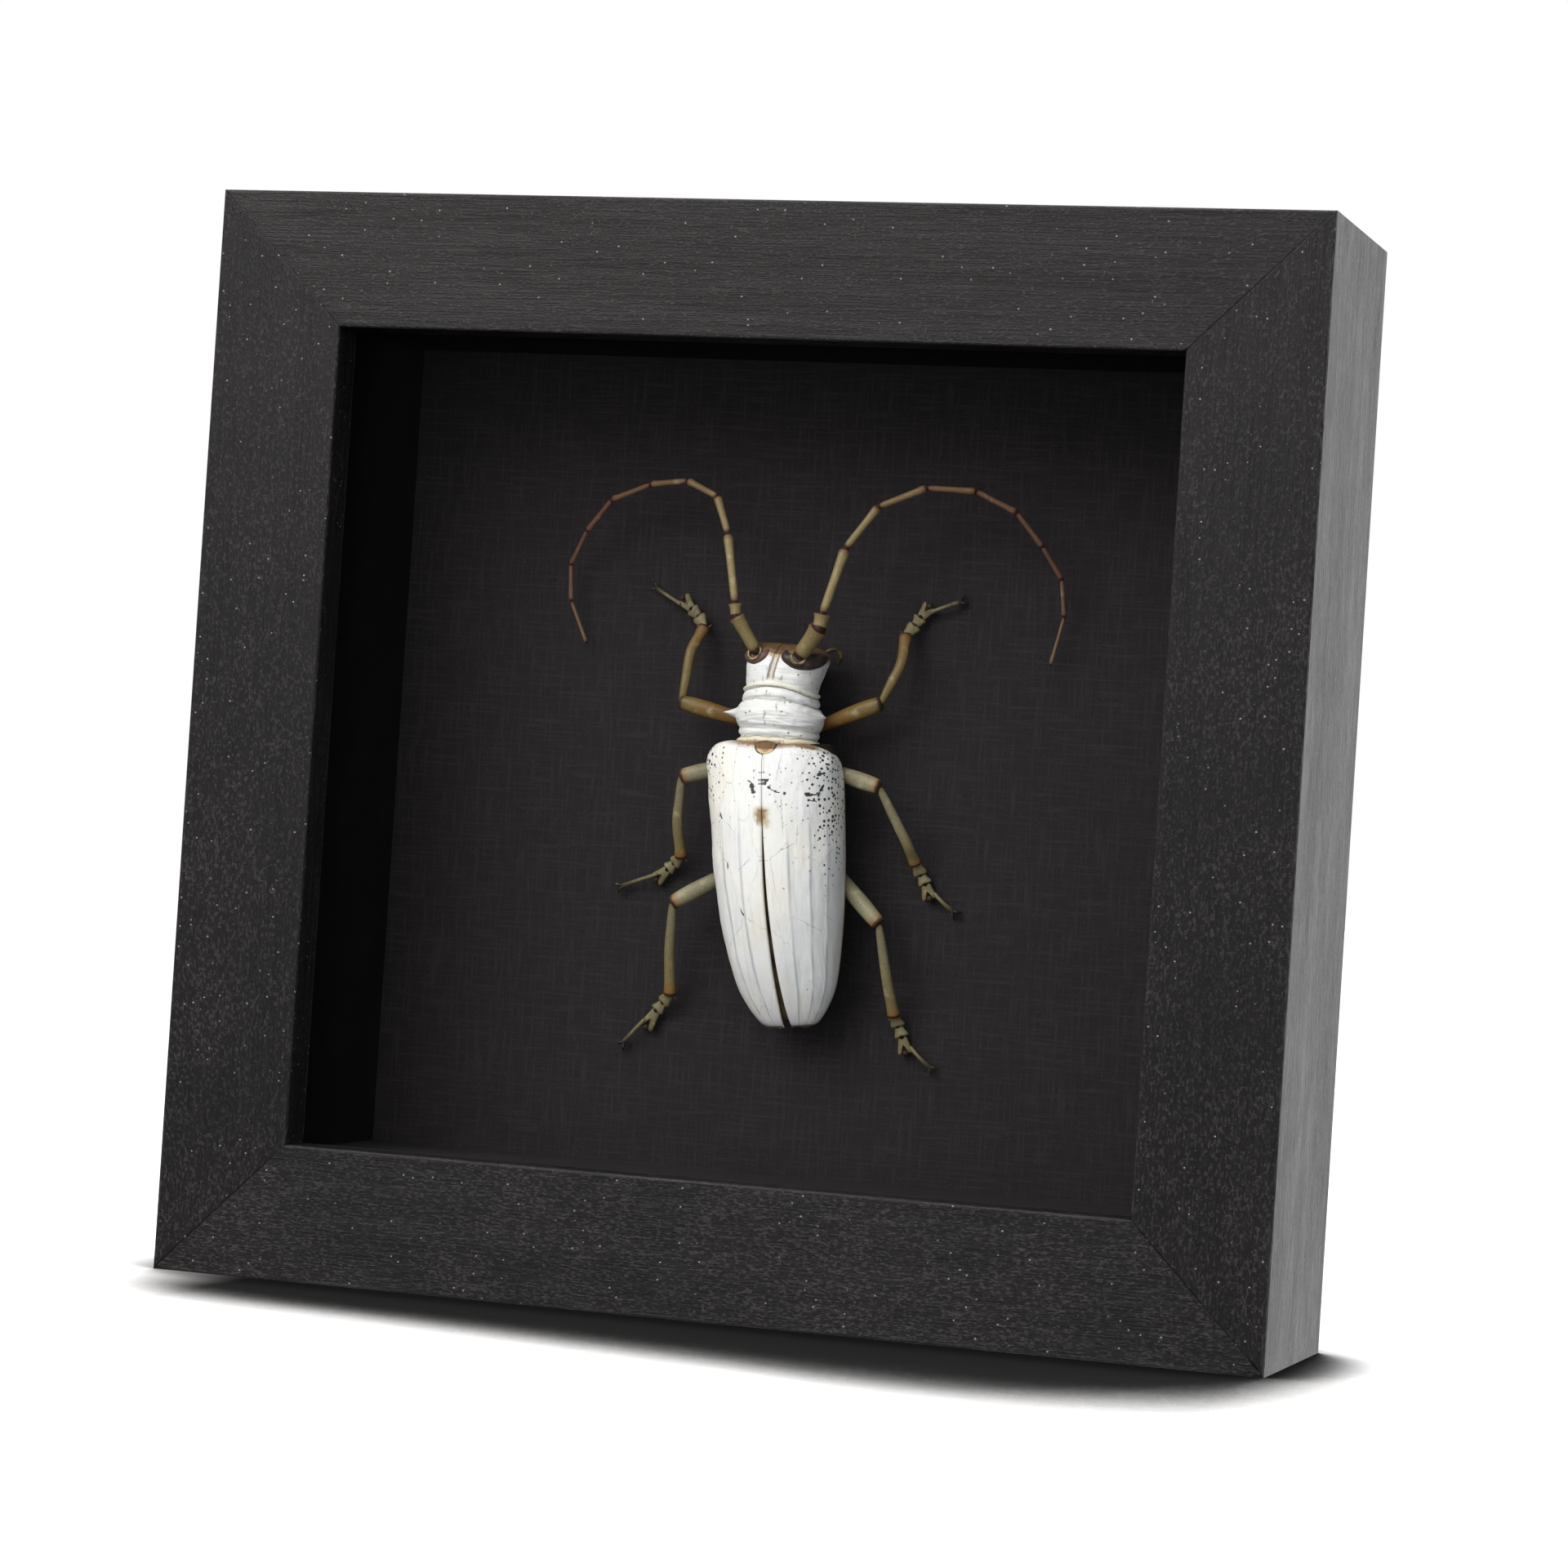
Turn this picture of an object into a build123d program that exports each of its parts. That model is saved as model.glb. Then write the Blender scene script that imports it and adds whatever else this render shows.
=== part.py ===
from build123d import *
import math
import os

os.makedirs("parts", exist_ok=True)

# Case sizes in millimetres
frame_width = 158.8
frame_height = 152.4
frame_depth = 38.1
face_width = 19.0  # moulding as seen from the front
lip_depth = 6.0  # wood in front of the glass
rabbet_width = 6.4  # step behind the lip
edge_round = 0.4
glass_thickness = 2.0
pane_clearance = 0.4
liner_thickness = 5.3
liner_clearance = 0.2
liner_end_gap = 0.1
mount_board_thickness = 1.6
back_board_thickness = 3.0
board_clearance = 0.3

# Corner fasteners, pressed in from behind
v_nail_insets = (4.0, 8.4)
v_nail_leg = 3.5
v_nail_gauge = 0.6
v_nail_length = 10.0

# Turn buttons and their screws
button_spacing = 76.0
button_pivot_inset = 6.3
button_width = 7.0
button_tail = 4.5
button_reach = 15.5
button_gauge = 1.2
button_lift = 0.1
button_hole_clearance = 0.08
screw_shank_radius = 1.5
screw_shank_depth = 12.0
screw_head_radius = 3.0
screw_head_height = 1.8
screw_slot = (3.4, 0.7, 0.9)  # length, width and depth of each arm of the cross
pilot_clearance = 0.02
pilot_extra_depth = 0.5

# Sawtooth hanger, its nails and the wall bumpers
hanger_length = 45.0
hanger_height = 8.0
hanger_gauge = 0.8
hanger_raise = 1.6
hanger_raised_length = 26.0
hanger_ramp = 2.4
hanger_top_inset = 6.3
tooth_count = 9
tooth_pitch = 2.6
tooth_depth = 1.3
nail_spacing = 38.0
nail_shank_radius = 0.7
nail_shank_depth = 9.0
nail_head_radius = 1.9
nail_head_height = 0.7
nail_hole_clearance = 0.1
bumper_radius = 4.0
bumper_thickness = 3.5
bumper_round = 0.6
bumper_inset = (8.0, 6.3)

# Beetle: positions are x to the right and z up from the middle of the board, and height off the board
waist = (-0.9, 2.8)
hind_body_turn = 6.5  # degrees that the tail swings to the right
shell_thickness = 0.6
shell_to_body = 0.3
suture_gap = 0.1
tail_gap = 1.0
gap_start = 14.0
belly_height = 1.6
# Wing cases: distance behind the waist, half width, height of the top, height of the margin
wing_stations = (
    (0.0, 8.8, 13.2, 7.6),
    (2.5, 10.1, 14.3, 7.6),
    (9.0, 10.3, 15.5, 7.5),
    (18.0, 10.1, 15.6, 7.5),
    (26.0, 9.2, 14.6, 7.3),
    (32.5, 7.6, 12.4, 6.9),
    (37.0, 5.6, 9.8, 6.3),
    (39.6, 3.6, 7.6, 5.9),
)
hind_thorax_length = 18.5
body_join_gap = 0.15
scutellum_size = (3.2, 1.8, 0.7)  # width, length and thickness
scutellum_height = 12.95
scutellum_clearance = 0.1
# Prothorax and head rings: height up the board from the waist, half width, half thickness, centre height
prothorax_rings = (
    (0.8, 5.8, 4.8, 7.8),
    (1.6, 6.3, 5.1, 8.0),
    (2.6, 5.9, 4.9, 8.0),
    (4.6, 6.9, 5.4, 8.0),
    (6.4, 6.0, 5.0, 8.0),
    (7.2, 6.2, 5.1, 8.0),
    (7.8, 6.0, 4.9, 8.0),
)
prothorax_spine = (4.5, 1.2, 2.6)  # ring height, base radius and reach past the side
head_rings = (
    (7.95, 5.5, 4.7, 8.0),
    (10.2, 5.9, 5.1, 7.8),
    (12.6, 5.9, 5.3, 7.2),
    (14.0, 4.9, 4.6, 6.6),
    (14.6, 3.6, 3.4, 6.2),
)
eye_radius = 2.6
eye_place = (3.7, 12.3, 9.8)
mandible_place = (1.6, 13.4, 2.6)
glue_pad_radius = 2.2
glue_pad_distances = (7.0, 24.0)
joint_waist = 0.7  # how far a segment narrows at its joint
joint_ball = 0.75
segment_swell = 1.15
segment_shares = (0, 0.12, 0.9, 1)  # along a segment: its neck, its shoulder, its swollen end, its neck

# Positions that follow from the sizes
front_y = -frame_depth / 2
back_y = frame_depth / 2
wall_width = face_width - rabbet_width
rabbet_opening = (frame_width - 2 * wall_width, frame_height - 2 * wall_width)
liner_depth = frame_depth - lip_depth - glass_thickness - mount_board_thickness - back_board_thickness
board_depth = lip_depth + glass_thickness + liner_depth
board_y = front_y + board_depth
middle_z = frame_height / 2
case_front = Plane(origin=(0, front_y, middle_z), x_dir=(1, 0, 0), z_dir=(0, -1, 0))
case_back = Plane(origin=(0, back_y, middle_z), x_dir=(-1, 0, 0), z_dir=(0, 1, 0))
corners = [(side, end) for side in (-1, 1) for end in (-1, 1)]
button_places = [
    (side * (frame_width / 2 - button_pivot_inset), end * button_spacing / 2)
    for side, end in corners
]
hanger_z = frame_height / 2 - hanger_top_inset


def counter_clockwise(points):
    """The outline's points in the order that faces the plane's own normal."""
    area = sum(a[0] * b[1] - b[0] * a[1] for a, b in zip(points, points[1:] + points[:1]))
    return points if area > 0 else points[::-1]


def save(piece, name):
    piece.part.label = name
    export_step(piece.part, f"parts/{name}.step")


def v_nail_outline(side, end, inset):
    """A right-angled strip that straddles the mitre, on the plane of the case's back."""
    apex_u = -side * (frame_width / 2 - inset)
    apex_v = end * (frame_height / 2 - inset)
    half = v_nail_gauge / 2
    steps = [(-half, -half), (v_nail_leg, -half), (v_nail_leg, half), (half, half), (half, v_nail_leg), (-half, v_nail_leg)]
    return counter_clockwise([(apex_u + side * a, apex_v - end * b) for a, b in steps])


def v_nails(mode):
    """Adds or cuts all eight corner fasteners in the part that is being built."""
    with BuildSketch(case_back) as outlines:
        for side, end in corners:
            for inset in v_nail_insets:
                Polygon(*v_nail_outline(side, end, inset), align=None)
    extrude(outlines.sketch, amount=-v_nail_length, mode=mode)


# Mitred rails: an outer edge, the direction along it and its length
rail_edges = {
    "bottom_rail": ((0, front_y, 0), (1, 0, 0), frame_width),
    "top_rail": ((0, front_y, frame_height), (-1, 0, 0), frame_width),
    "left_rail": ((-frame_width / 2, front_y, middle_z), (0, 0, -1), frame_height),
    "right_rail": ((frame_width / 2, front_y, middle_z), (0, 0, 1), frame_height),
}
for rail_name, (edge_middle, along, length) in rail_edges.items():
    rail_plane = Plane(origin=edge_middle, x_dir=along, z_dir=(0, -1, 0))
    with BuildPart() as rail:
        for start, width, depth in ((0, face_width, lip_depth), (lip_depth, wall_width, frame_depth - lip_depth)):
            with BuildSketch(rail_plane.offset(-start)):
                Polygon(
                    (-length / 2, 0),
                    (length / 2, 0),
                    (length / 2 - width, width),
                    (-length / 2 + width, width),
                    align=None,
                )
            extrude(amount=-depth)
        along_axis = Axis.X if abs(along[0]) else Axis.Z
        outer_and_sight = [
            e
            for e in rail.edges().filter_by(along_axis)
            if e.length > length - 0.01 or abs(e.center().Y - front_y) < 0.01
        ]
        fillet(outer_and_sight, radius=edge_round)
        v_nails(Mode.SUBTRACT)
        with BuildSketch(case_back):
            with Locations(*[(-x, z) for x, z in button_places]):
                Circle(screw_shank_radius + pilot_clearance)
        extrude(amount=-(screw_shank_depth + pilot_extra_depth), mode=Mode.SUBTRACT)
        with BuildSketch(case_back):
            with Locations((-nail_spacing / 2, hanger_z), (nail_spacing / 2, hanger_z)):
                Circle(nail_shank_radius + pilot_clearance)
        extrude(amount=-(nail_shank_depth + pilot_extra_depth), mode=Mode.SUBTRACT)
    save(rail, rail_name)

with BuildPart() as corner_nails:
    v_nails(Mode.ADD)
save(corner_nails, "corner_v_nails")

with BuildPart() as glass_pane:
    with BuildSketch(case_front.offset(-lip_depth)):
        Rectangle(rabbet_opening[0] - 2 * pane_clearance, rabbet_opening[1] - 2 * pane_clearance)
    extrude(amount=-glass_thickness)
save(glass_pane, "glass_pane")

# Liner strips: top and bottom run right across, and the sides stand between them
long_liner = rabbet_opening[0] - 2 * liner_clearance
short_liner = rabbet_opening[1] - 2 * (liner_clearance + liner_thickness + liner_end_gap)
liner_u = rabbet_opening[0] / 2 - liner_clearance - liner_thickness / 2
liner_v = rabbet_opening[1] / 2 - liner_clearance - liner_thickness / 2
liner_places = {
    "top_liner": (0, liner_v, long_liner, liner_thickness),
    "bottom_liner": (0, -liner_v, long_liner, liner_thickness),
    "left_liner": (-liner_u, 0, liner_thickness, short_liner),
    "right_liner": (liner_u, 0, liner_thickness, short_liner),
}
for liner_name, (u, v, across, up) in liner_places.items():
    with BuildPart() as liner:
        with BuildSketch(case_front.offset(-(lip_depth + glass_thickness))):
            with Locations((u, v)):
                Rectangle(across, up)
        extrude(amount=-liner_depth)
    save(liner, liner_name)

board_size = (rabbet_opening[0] - 2 * board_clearance, rabbet_opening[1] - 2 * board_clearance)
with BuildPart() as mount_board:
    with BuildSketch(case_front.offset(-board_depth)):
        Rectangle(*board_size)
    extrude(amount=-mount_board_thickness)
save(mount_board, "mount_board")

with BuildPart() as back_board:
    with BuildSketch(case_front.offset(-(board_depth + mount_board_thickness))):
        Rectangle(*board_size)
    extrude(amount=-back_board_thickness)
save(back_board, "back_board")

# Turn buttons point inward over the back board at rest
button_names = {(-1, 1): "turn_button_upper_left", (-1, -1): "turn_button_lower_left",
                (1, 1): "turn_button_upper_right", (1, -1): "turn_button_lower_right"}
for (side, end), (x, z) in zip(corners, button_places):
    with BuildPart() as button:
        with BuildSketch(case_back.offset(button_lift)):
            with Locations((-x + side * (button_reach - button_tail) / 2, z)):
                SlotOverall(button_reach + button_tail, button_width)
            with Locations((-x, z)):
                Circle(screw_shank_radius + button_hole_clearance, mode=Mode.SUBTRACT)
        extrude(amount=button_gauge)
    save(button, button_names[side, end])

head_seat = 2 * button_lift + button_gauge
with BuildPart() as button_screws:
    for x, z in button_places:
        with BuildSketch(case_back.offset(-screw_shank_depth)):
            with Locations((-x, z)):
                Circle(screw_shank_radius)
        extrude(amount=screw_shank_depth + head_seat)
        with BuildSketch(case_back.offset(head_seat)):
            with Locations((-x, z)):
                Circle(screw_head_radius)
        extrude(amount=screw_head_height)
    head_tops = button_screws.faces().sort_by(Axis.Y)[-len(button_places):]
    fillet(head_tops.edges(), radius=screw_head_height / 2)
    with BuildSketch(case_back.offset(head_seat + screw_head_height)):
        with Locations(*[(-x, z) for x, z in button_places]):
            Rectangle(screw_slot[0], screw_slot[1])
            Rectangle(screw_slot[1], screw_slot[0])
    extrude(amount=-screw_slot[2], mode=Mode.SUBTRACT)
save(button_screws, "turn_button_screws")

# Sawtooth hanger: flat nailed ends and a raised middle with teeth along its lower edge
with BuildPart() as hanger:
    half, raised = hanger_length / 2, hanger_raised_length / 2
    wood_side = [(-half, 0), (-raised - hanger_ramp, 0), (-raised, hanger_raise),
                 (raised, hanger_raise), (raised + hanger_ramp, 0), (half, 0)]
    wall_side = [(x, y + hanger_gauge) for x, y in reversed(wood_side)]
    with BuildSketch(Plane.XY.offset(middle_z + hanger_z - hanger_height / 2)):
        with Locations((0, back_y)):
            Polygon(*(wood_side + wall_side), align=None)
    extrude(amount=hanger_height)
    with BuildSketch(case_back):
        for index in range(tooth_count):
            tooth_u = (index - (tooth_count - 1) / 2) * tooth_pitch
            edge_v = hanger_z - hanger_height / 2
            Polygon(
                (tooth_u - tooth_pitch / 2, edge_v),
                (tooth_u + tooth_pitch / 2, edge_v),
                (tooth_u, edge_v + tooth_depth),
                align=None,
            )
        with Locations((-nail_spacing / 2, hanger_z), (nail_spacing / 2, hanger_z)):
            Circle(nail_shank_radius + nail_hole_clearance)
    extrude(amount=hanger_raise + 2 * hanger_gauge, mode=Mode.SUBTRACT)
save(hanger, "sawtooth_hanger")

with BuildPart() as hanger_nails:
    for u in (-nail_spacing / 2, nail_spacing / 2):
        with BuildSketch(case_back.offset(-nail_shank_depth)):
            with Locations((u, hanger_z)):
                Circle(nail_shank_radius)
        extrude(amount=nail_shank_depth + hanger_gauge)
        with BuildSketch(case_back.offset(hanger_gauge)):
            with Locations((u, hanger_z)):
                Circle(nail_head_radius)
        extrude(amount=nail_head_height)
save(hanger_nails, "hanger_nails")

with BuildPart() as bumpers:
    with BuildSketch(case_back):
        for side in (-1, 1):
            with Locations((side * (frame_width / 2 - bumper_inset[0]), bumper_inset[1] - middle_z)):
                Circle(bumper_radius)
    extrude(amount=bumper_thickness)
    fillet(bumpers.faces().sort_by(Axis.Y)[-2:].edges(), radius=bumper_round)
save(bumpers, "wall_bumpers")


def on_board(x, z, height):
    """A point of the beetle: right and up from the board's middle, and off its face."""
    return Vector(x, board_y - height, middle_z + z)


turn = math.radians(hind_body_turn)
tail_direction = Vector(math.sin(turn), 0, -math.cos(turn))
hind_side = Vector(math.cos(turn), 0, math.sin(turn))
waist_point = on_board(waist[0], waist[1], 0)
hind_plan = Plane(origin=waist_point, x_dir=hind_side, z_dir=(0, -1, 0))
deepest_beetle = max(top for _, _, top, _ in wing_stations)


def hind_section(distance):
    """The cross-section plane of the hind body: x to the beetle's side, y off the board."""
    return Plane(origin=waist_point + tail_direction * distance, x_dir=hind_side, z_dir=tail_direction)


def wing_station(distance):
    """Half width, top and margin of the wing cases at a distance, between the listed stations."""
    for (d0, *low), (d1, *high) in zip(wing_stations, wing_stations[1:]):
        if distance <= d1:
            share = (distance - d0) / (d1 - d0)
            return [a + (b - a) * share for a, b in zip(low, high)]
    return list(wing_stations[-1][1:])


def dome_face(half_width, top, margin, skirt):
    """Half an ellipse over a straight foot that reaches skirt below the margin."""
    with BuildLine() as outline:
        EllipticalCenterArc((0, margin), half_width, top - margin, start_angle=0, arc_size=180)
        Polyline((-half_width, margin), (-half_width, margin - skirt), (half_width, margin - skirt), (half_width, margin))
    make_face(outline.edges())


# Wing cases: one domed shell, parted along the suture, with a notch for the scutellum
inner_ends = (-0.5, wing_stations[-1][0] - shell_thickness)
inner_distances = [inner_ends[0]] + [s[0] for s in wing_stations[1:-1]] + [inner_ends[1]]
tail_end = wing_stations[-1][0] + 1
with BuildPart() as wing_cases:
    for distance, half_width, top, margin in wing_stations:
        with BuildSketch(hind_section(distance)):
            with BuildLine():
                EllipticalCenterArc((0, margin), half_width, top - margin, start_angle=0, arc_size=180)
                Line((-half_width, margin), (half_width, margin))
            make_face()
    loft()
    for distance in inner_distances:
        half_width, top, margin = wing_station(max(distance, 0))
        with BuildSketch(hind_section(distance)):
            dome_face(half_width - shell_thickness, top - shell_thickness, margin, 1)
    loft(mode=Mode.SUBTRACT)
    with BuildSketch(hind_plan):
        Polygon(
            (-suture_gap / 2, 1),
            (-suture_gap / 2, -gap_start),
            (-tail_gap / 2, -tail_end),
            (tail_gap / 2, -tail_end),
            (suture_gap / 2, -gap_start),
            (suture_gap / 2, 1),
            align=None,
        )
        with Locations((0, 0)):
            Rectangle(scutellum_size[0] + 2 * scutellum_clearance, 2 * (scutellum_size[1] + scutellum_clearance))
    extrude(amount=deepest_beetle + 1, mode=Mode.SUBTRACT)
halves = wing_cases.solids().sort_by(Axis.X)
for half_shell, shell_name in ((halves[0], "left_wing_case"), (halves[-1], "right_wing_case")):
    with BuildPart() as wing_case:
        add(half_shell)
    save(wing_case, "beetle_" + shell_name)

with BuildPart() as scutellum:
    with BuildSketch(hind_plan.offset(scutellum_height)):
        Ellipse(scutellum_size[0] / 2, scutellum_size[1])
        with Locations((0, scutellum_size[1] / 2)):
            Rectangle(scutellum_size[0], scutellum_size[1], mode=Mode.SUBTRACT)
    extrude(amount=scutellum_size[2])
save(scutellum, "beetle_scutellum")


def hind_body(distances):
    """Ellipses that fill the space under the wing cases, lofted from front to tail."""
    sections = []
    for distance in distances:
        half_width, top, _ = wing_station(max(distance, 0))
        ceiling = top - shell_thickness - shell_to_body
        with BuildSketch(hind_section(distance)) as section:
            with Locations((0, (ceiling + belly_height) / 2)):
                Ellipse(half_width - shell_thickness - 1.3 * shell_to_body, (ceiling - belly_height) / 2)
        sections.append(section.sketch)
    loft(sections)


with BuildPart() as hind_thorax:
    hind_body((0.2, 3, 9, hind_thorax_length))
    add(scutellum.part, mode=Mode.SUBTRACT)
save(hind_thorax, "beetle_hind_thorax")

with BuildPart() as abdomen:
    hind_body((hind_thorax_length + body_join_gap, 23, 29, 34, 37.5, 38.6))
save(abdomen, "beetle_abdomen")


def ring_plane(height):
    return Plane(origin=on_board(0, waist[1] + height, 0), x_dir=(1, 0, 0), z_dir=(0, 0, 1))


def rings(stations):
    """Ellipses across the board's upright direction, lofted: on these planes y runs into the board."""
    sections = []
    for height, half_width, half_thickness, centre in stations:
        with BuildSketch(ring_plane(height)) as section:
            with Locations((0, -centre)):
                Ellipse(half_width, half_thickness)
        sections.append(section.sketch)
    loft(sections)


spine_height, spine_radius, spine_reach = prothorax_spine
with BuildPart() as prothorax:
    rings(prothorax_rings)
    widest = max(ring[1] for ring in prothorax_rings)
    for side in (-1, 1):
        spine_root = on_board(side * (widest - 1.2), waist[1] + spine_height, prothorax_rings[3][3])
        spine_plane = Plane(origin=spine_root, x_dir=(0, 0, 1), z_dir=(side, 0, 0))
        with BuildSketch(spine_plane):
            Circle(spine_radius)
        with BuildSketch(spine_plane.offset(spine_reach)):
            Circle(0.15)
        loft()
save(prothorax, "beetle_prothorax")

with BuildPart() as head:
    rings(head_rings)
save(head, "beetle_head")

with BuildPart() as eyes:
    for side in (-1, 1):
        with Locations(on_board(side * eye_place[0], waist[1] + eye_place[1], eye_place[2])):
            Sphere(eye_radius)
    add(head.part, mode=Mode.SUBTRACT)
    add(prothorax.part, mode=Mode.SUBTRACT)
save(eyes, "beetle_eyes")


def limb(points, radii, flatness=1.0):
    """A length of leg or feeler through some points, with a radius at each, flattened towards the board."""
    runs = [(b - a).normalized() for a, b in zip(points, points[1:])]
    headings = [runs[0]] + [(a + b).normalized() for a, b in zip(runs, runs[1:])] + [runs[-1]]
    sections = []
    for point, radius, heading in zip(points, radii, headings):
        across = heading.cross(Vector(0, 1, 0))
        with BuildSketch(Plane(origin=point, x_dir=across, z_dir=heading)) as section:
            Ellipse(radius, radius * flatness)
        sections.append(section.sketch)
    loft(sections)


def joint(point, radius):
    """The ball that closes a bend between two lengths."""
    with Locations(point):
        Sphere(radius)


# Mandibles close under the face, with a pair of palps outside them
with BuildPart() as mouthparts:
    for side in (-1, 1):
        jaw_root = on_board(side * mandible_place[0], waist[1] + mandible_place[1], mandible_place[2] + 1)
        jaw_tip = on_board(side * 0.5, waist[1] + mandible_place[1] + 1.2, mandible_place[2] - 1.2)
        limb((jaw_root, jaw_tip), (1.0, 0.35))
        palp_root = on_board(side * 3.4, waist[1] + 12.6, 3.6)
        palp_knee = on_board(side * 5.2, waist[1] + 14.4, 3.0)
        palp_tip = on_board(side * 6.2, waist[1] + 13.2, 2.6)
        limb((palp_root, palp_knee), (0.4, 0.35))
        limb((palp_knee, palp_tip), (0.35, 0.25))
        joint(palp_knee, 0.4)
    add(head.part, mode=Mode.SUBTRACT)
save(mouthparts, "beetle_mouthparts")

# Feelers: joints from the socket to the tip, as x, z and height off the board, and the radius at each joint
feeler_joints = {
    "left": (
        (-3.0, 15.8, 11.8), (-5.9, 20.6, 14.0), (-6.1, 22.3, 14.0), (-8.4, 32.2, 12.5), (-10.8, 37.4, 11.0),
        (-15.9, 39.6, 9.5), (-21.9, 39.0, 8.0), (-28.2, 36.7, 6.5), (-32.2, 32.2, 5.0), (-34.9, 27.4, 3.5),
        (-34.9, 22.2, 2.5), (-32.5, 16.3, 1.5),
    ),
    "right": (
        (3.5, 15.6, 11.8), (6.4, 19.4, 14.0), (6.7, 21.4, 14.0), (9.2, 30.8, 13.0), (13.3, 36.8, 12.0),
        (19.7, 39.8, 10.5), (26.4, 39.7, 9.0), (32.0, 37.1, 7.5), (35.6, 32.6, 6.0), (38.3, 28.3, 4.5),
        (38.6, 23.2, 3.0), (36.8, 16.4, 2.0),
    ),
}
feeler_radii = (1.0, 0.8, 0.75, 0.7, 0.62, 0.55, 0.5, 0.47, 0.44, 0.4, 0.36, 0.22)
for side_name, joints in feeler_joints.items():
    with BuildPart() as feeler:
        places = [on_board(*joint) for joint in joints]
        for start, end, near, far in zip(places, places[1:], feeler_radii, feeler_radii[1:]):
            waisted = (near * joint_waist, near, far * segment_swell, far * joint_waist)
            limb([start + (end - start) * share for share in segment_shares], waisted)
        for place, radius in zip(places[1:-1], feeler_radii[1:]):
            joint(place, radius * joint_ball)
        add(head.part, mode=Mode.SUBTRACT)
        add(eyes.part, mode=Mode.SUBTRACT)
    save(feeler, f"beetle_{side_name}_feeler")

# Legs: hip, knee, shin bend, ankle, three foot joints, then the claw segment's root and tip
leg_joints = {
    "front_left": ((-3.6, 5.6, 4.6), (-15.7, 8.3, 6.5), (-15.3, 15.6, 5.0), (-14.4, 19.3, 2.6),
                   (-15.6, 20.9, 1.6), (-16.8, 21.9, 1.4), (-18.3, 23.4, 1.2), (-18.6, 22.6, 1.6), (-22.3, 24.6, 1.0)),
    "front_right": ((3.6, 5.6, 4.6), (13.8, 9.6, 6.5), (16.0, 15.5, 5.0), (15.7, 19.5, 2.6),
                    (16.7, 21.1, 1.6), (17.4, 22.3, 1.4), (18.6, 23.9, 1.2), (19.0, 23.1, 1.6), (22.8, 24.7, 1.0)),
    "middle_left": ((-4.6, 0.6, 3.9), (-14.7, -2.2, 7.3), (-15.6, -8.8, 5.2), (-15.6, -13.6, 2.6),
                    (-16.9, -14.7, 1.6), (-17.9, -15.6, 1.4), (-19.6, -17.2, 1.2), (-19.4, -16.4, 1.7), (-24.7, -18.4, 1.0)),
    "middle_right": ((4.6, 0.4, 3.9), (14.6, -2.1, 7.3), (18.4, -9.6, 5.0), (19.2, -12.4, 2.6),
                     (19.9, -14.0, 1.6), (20.6, -15.3, 1.4), (21.3, -17.3, 1.2), (22.1, -16.6, 1.6), (24.6, -18.8, 1.0)),
    "hind_left": ((-4.4, -13.6, 3.5), (-14.8, -20.2, 7.3), (-15.6, -27.2, 5.0), (-15.9, -33.3, 2.6),
                  (-17.2, -34.7, 1.6), (-18.2, -35.9, 1.4), (-19.7, -38.4, 1.2), (-19.9, -37.4, 1.7), (-22.9, -40.7, 1.0)),
    "hind_right": ((5.6, -12.0, 3.5), (15.8, -21.2, 7.3), (16.9, -29.2, 5.0), (17.5, -34.0, 2.6),
                   (18.0, -35.5, 1.6), (18.6, -37.0, 1.4), (19.2, -39.2, 1.2), (20.0, -38.4, 1.6), (22.7, -40.9, 1.0)),
}
femur_radii = (0.8, 1.2, 0.95)
femur_club = 0.62  # how far along the thigh is at its thickest
tibia_radii = (0.65, 0.75, 0.95)
foot_flatness = 0.45
foot_radii = ((0.5, 1.05), (0.55, 1.1), (0.55, 1.25))
foot_joint_radius = 0.45
claw_segment_radii = (0.35, 0.45)
claw_length = 1.6
claw_radii = (0.3, 0.1)
claw_spread = 38.0
for leg_name, joints in leg_joints.items():
    hip, knee, shin, ankle, foot_a, foot_b, foot_c, claw_root, claw_tip = [on_board(*joint) for joint in joints]
    with BuildPart() as femur:
        limb((hip, hip + (knee - hip) * femur_club, knee), femur_radii)
        joint(knee, femur_radii[-1])
        for trunk in (hind_thorax, prothorax, abdomen):
            add(trunk.part, mode=Mode.SUBTRACT)
    save(femur, f"beetle_{leg_name}_femur")
    with BuildPart() as tibia:
        limb((knee, shin, ankle), tibia_radii)
        add(femur.part, mode=Mode.SUBTRACT)
    save(tibia, f"beetle_{leg_name}_tibia")
    with BuildPart() as tarsus:
        foot_points = (ankle, foot_a, foot_b, foot_c)
        for start, end, (near, far) in zip(foot_points, foot_points[1:], foot_radii):
            limb((start, end), (near, far), foot_flatness)
            joint(start, foot_joint_radius)
        limb((claw_root, claw_tip), claw_segment_radii)
        joint(claw_root, foot_joint_radius)
        heading = claw_tip - claw_root
        for way in (-1, 1):
            hook = Vector(heading.X, 0, heading.Z).normalized().rotate(Axis.Y, way * claw_spread) * claw_length
            limb((claw_tip, claw_tip + hook + Vector(0, 0.4, 0)), claw_radii)
        add(tibia.part, mode=Mode.SUBTRACT)
    save(tarsus, f"beetle_{leg_name}_tarsus")

with BuildPart() as glue_pads:
    for distance in glue_pad_distances:
        with BuildSketch(hind_plan):
            with Locations((0, -distance)):
                Circle(glue_pad_radius)
        extrude(amount=belly_height + 0.6)
    add(hind_thorax.part, mode=Mode.SUBTRACT)
    add(abdomen.part, mode=Mode.SUBTRACT)
save(glue_pads, "glue_pads")
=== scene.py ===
import math
import bmesh
import bpy
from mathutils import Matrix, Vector, noise


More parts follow.
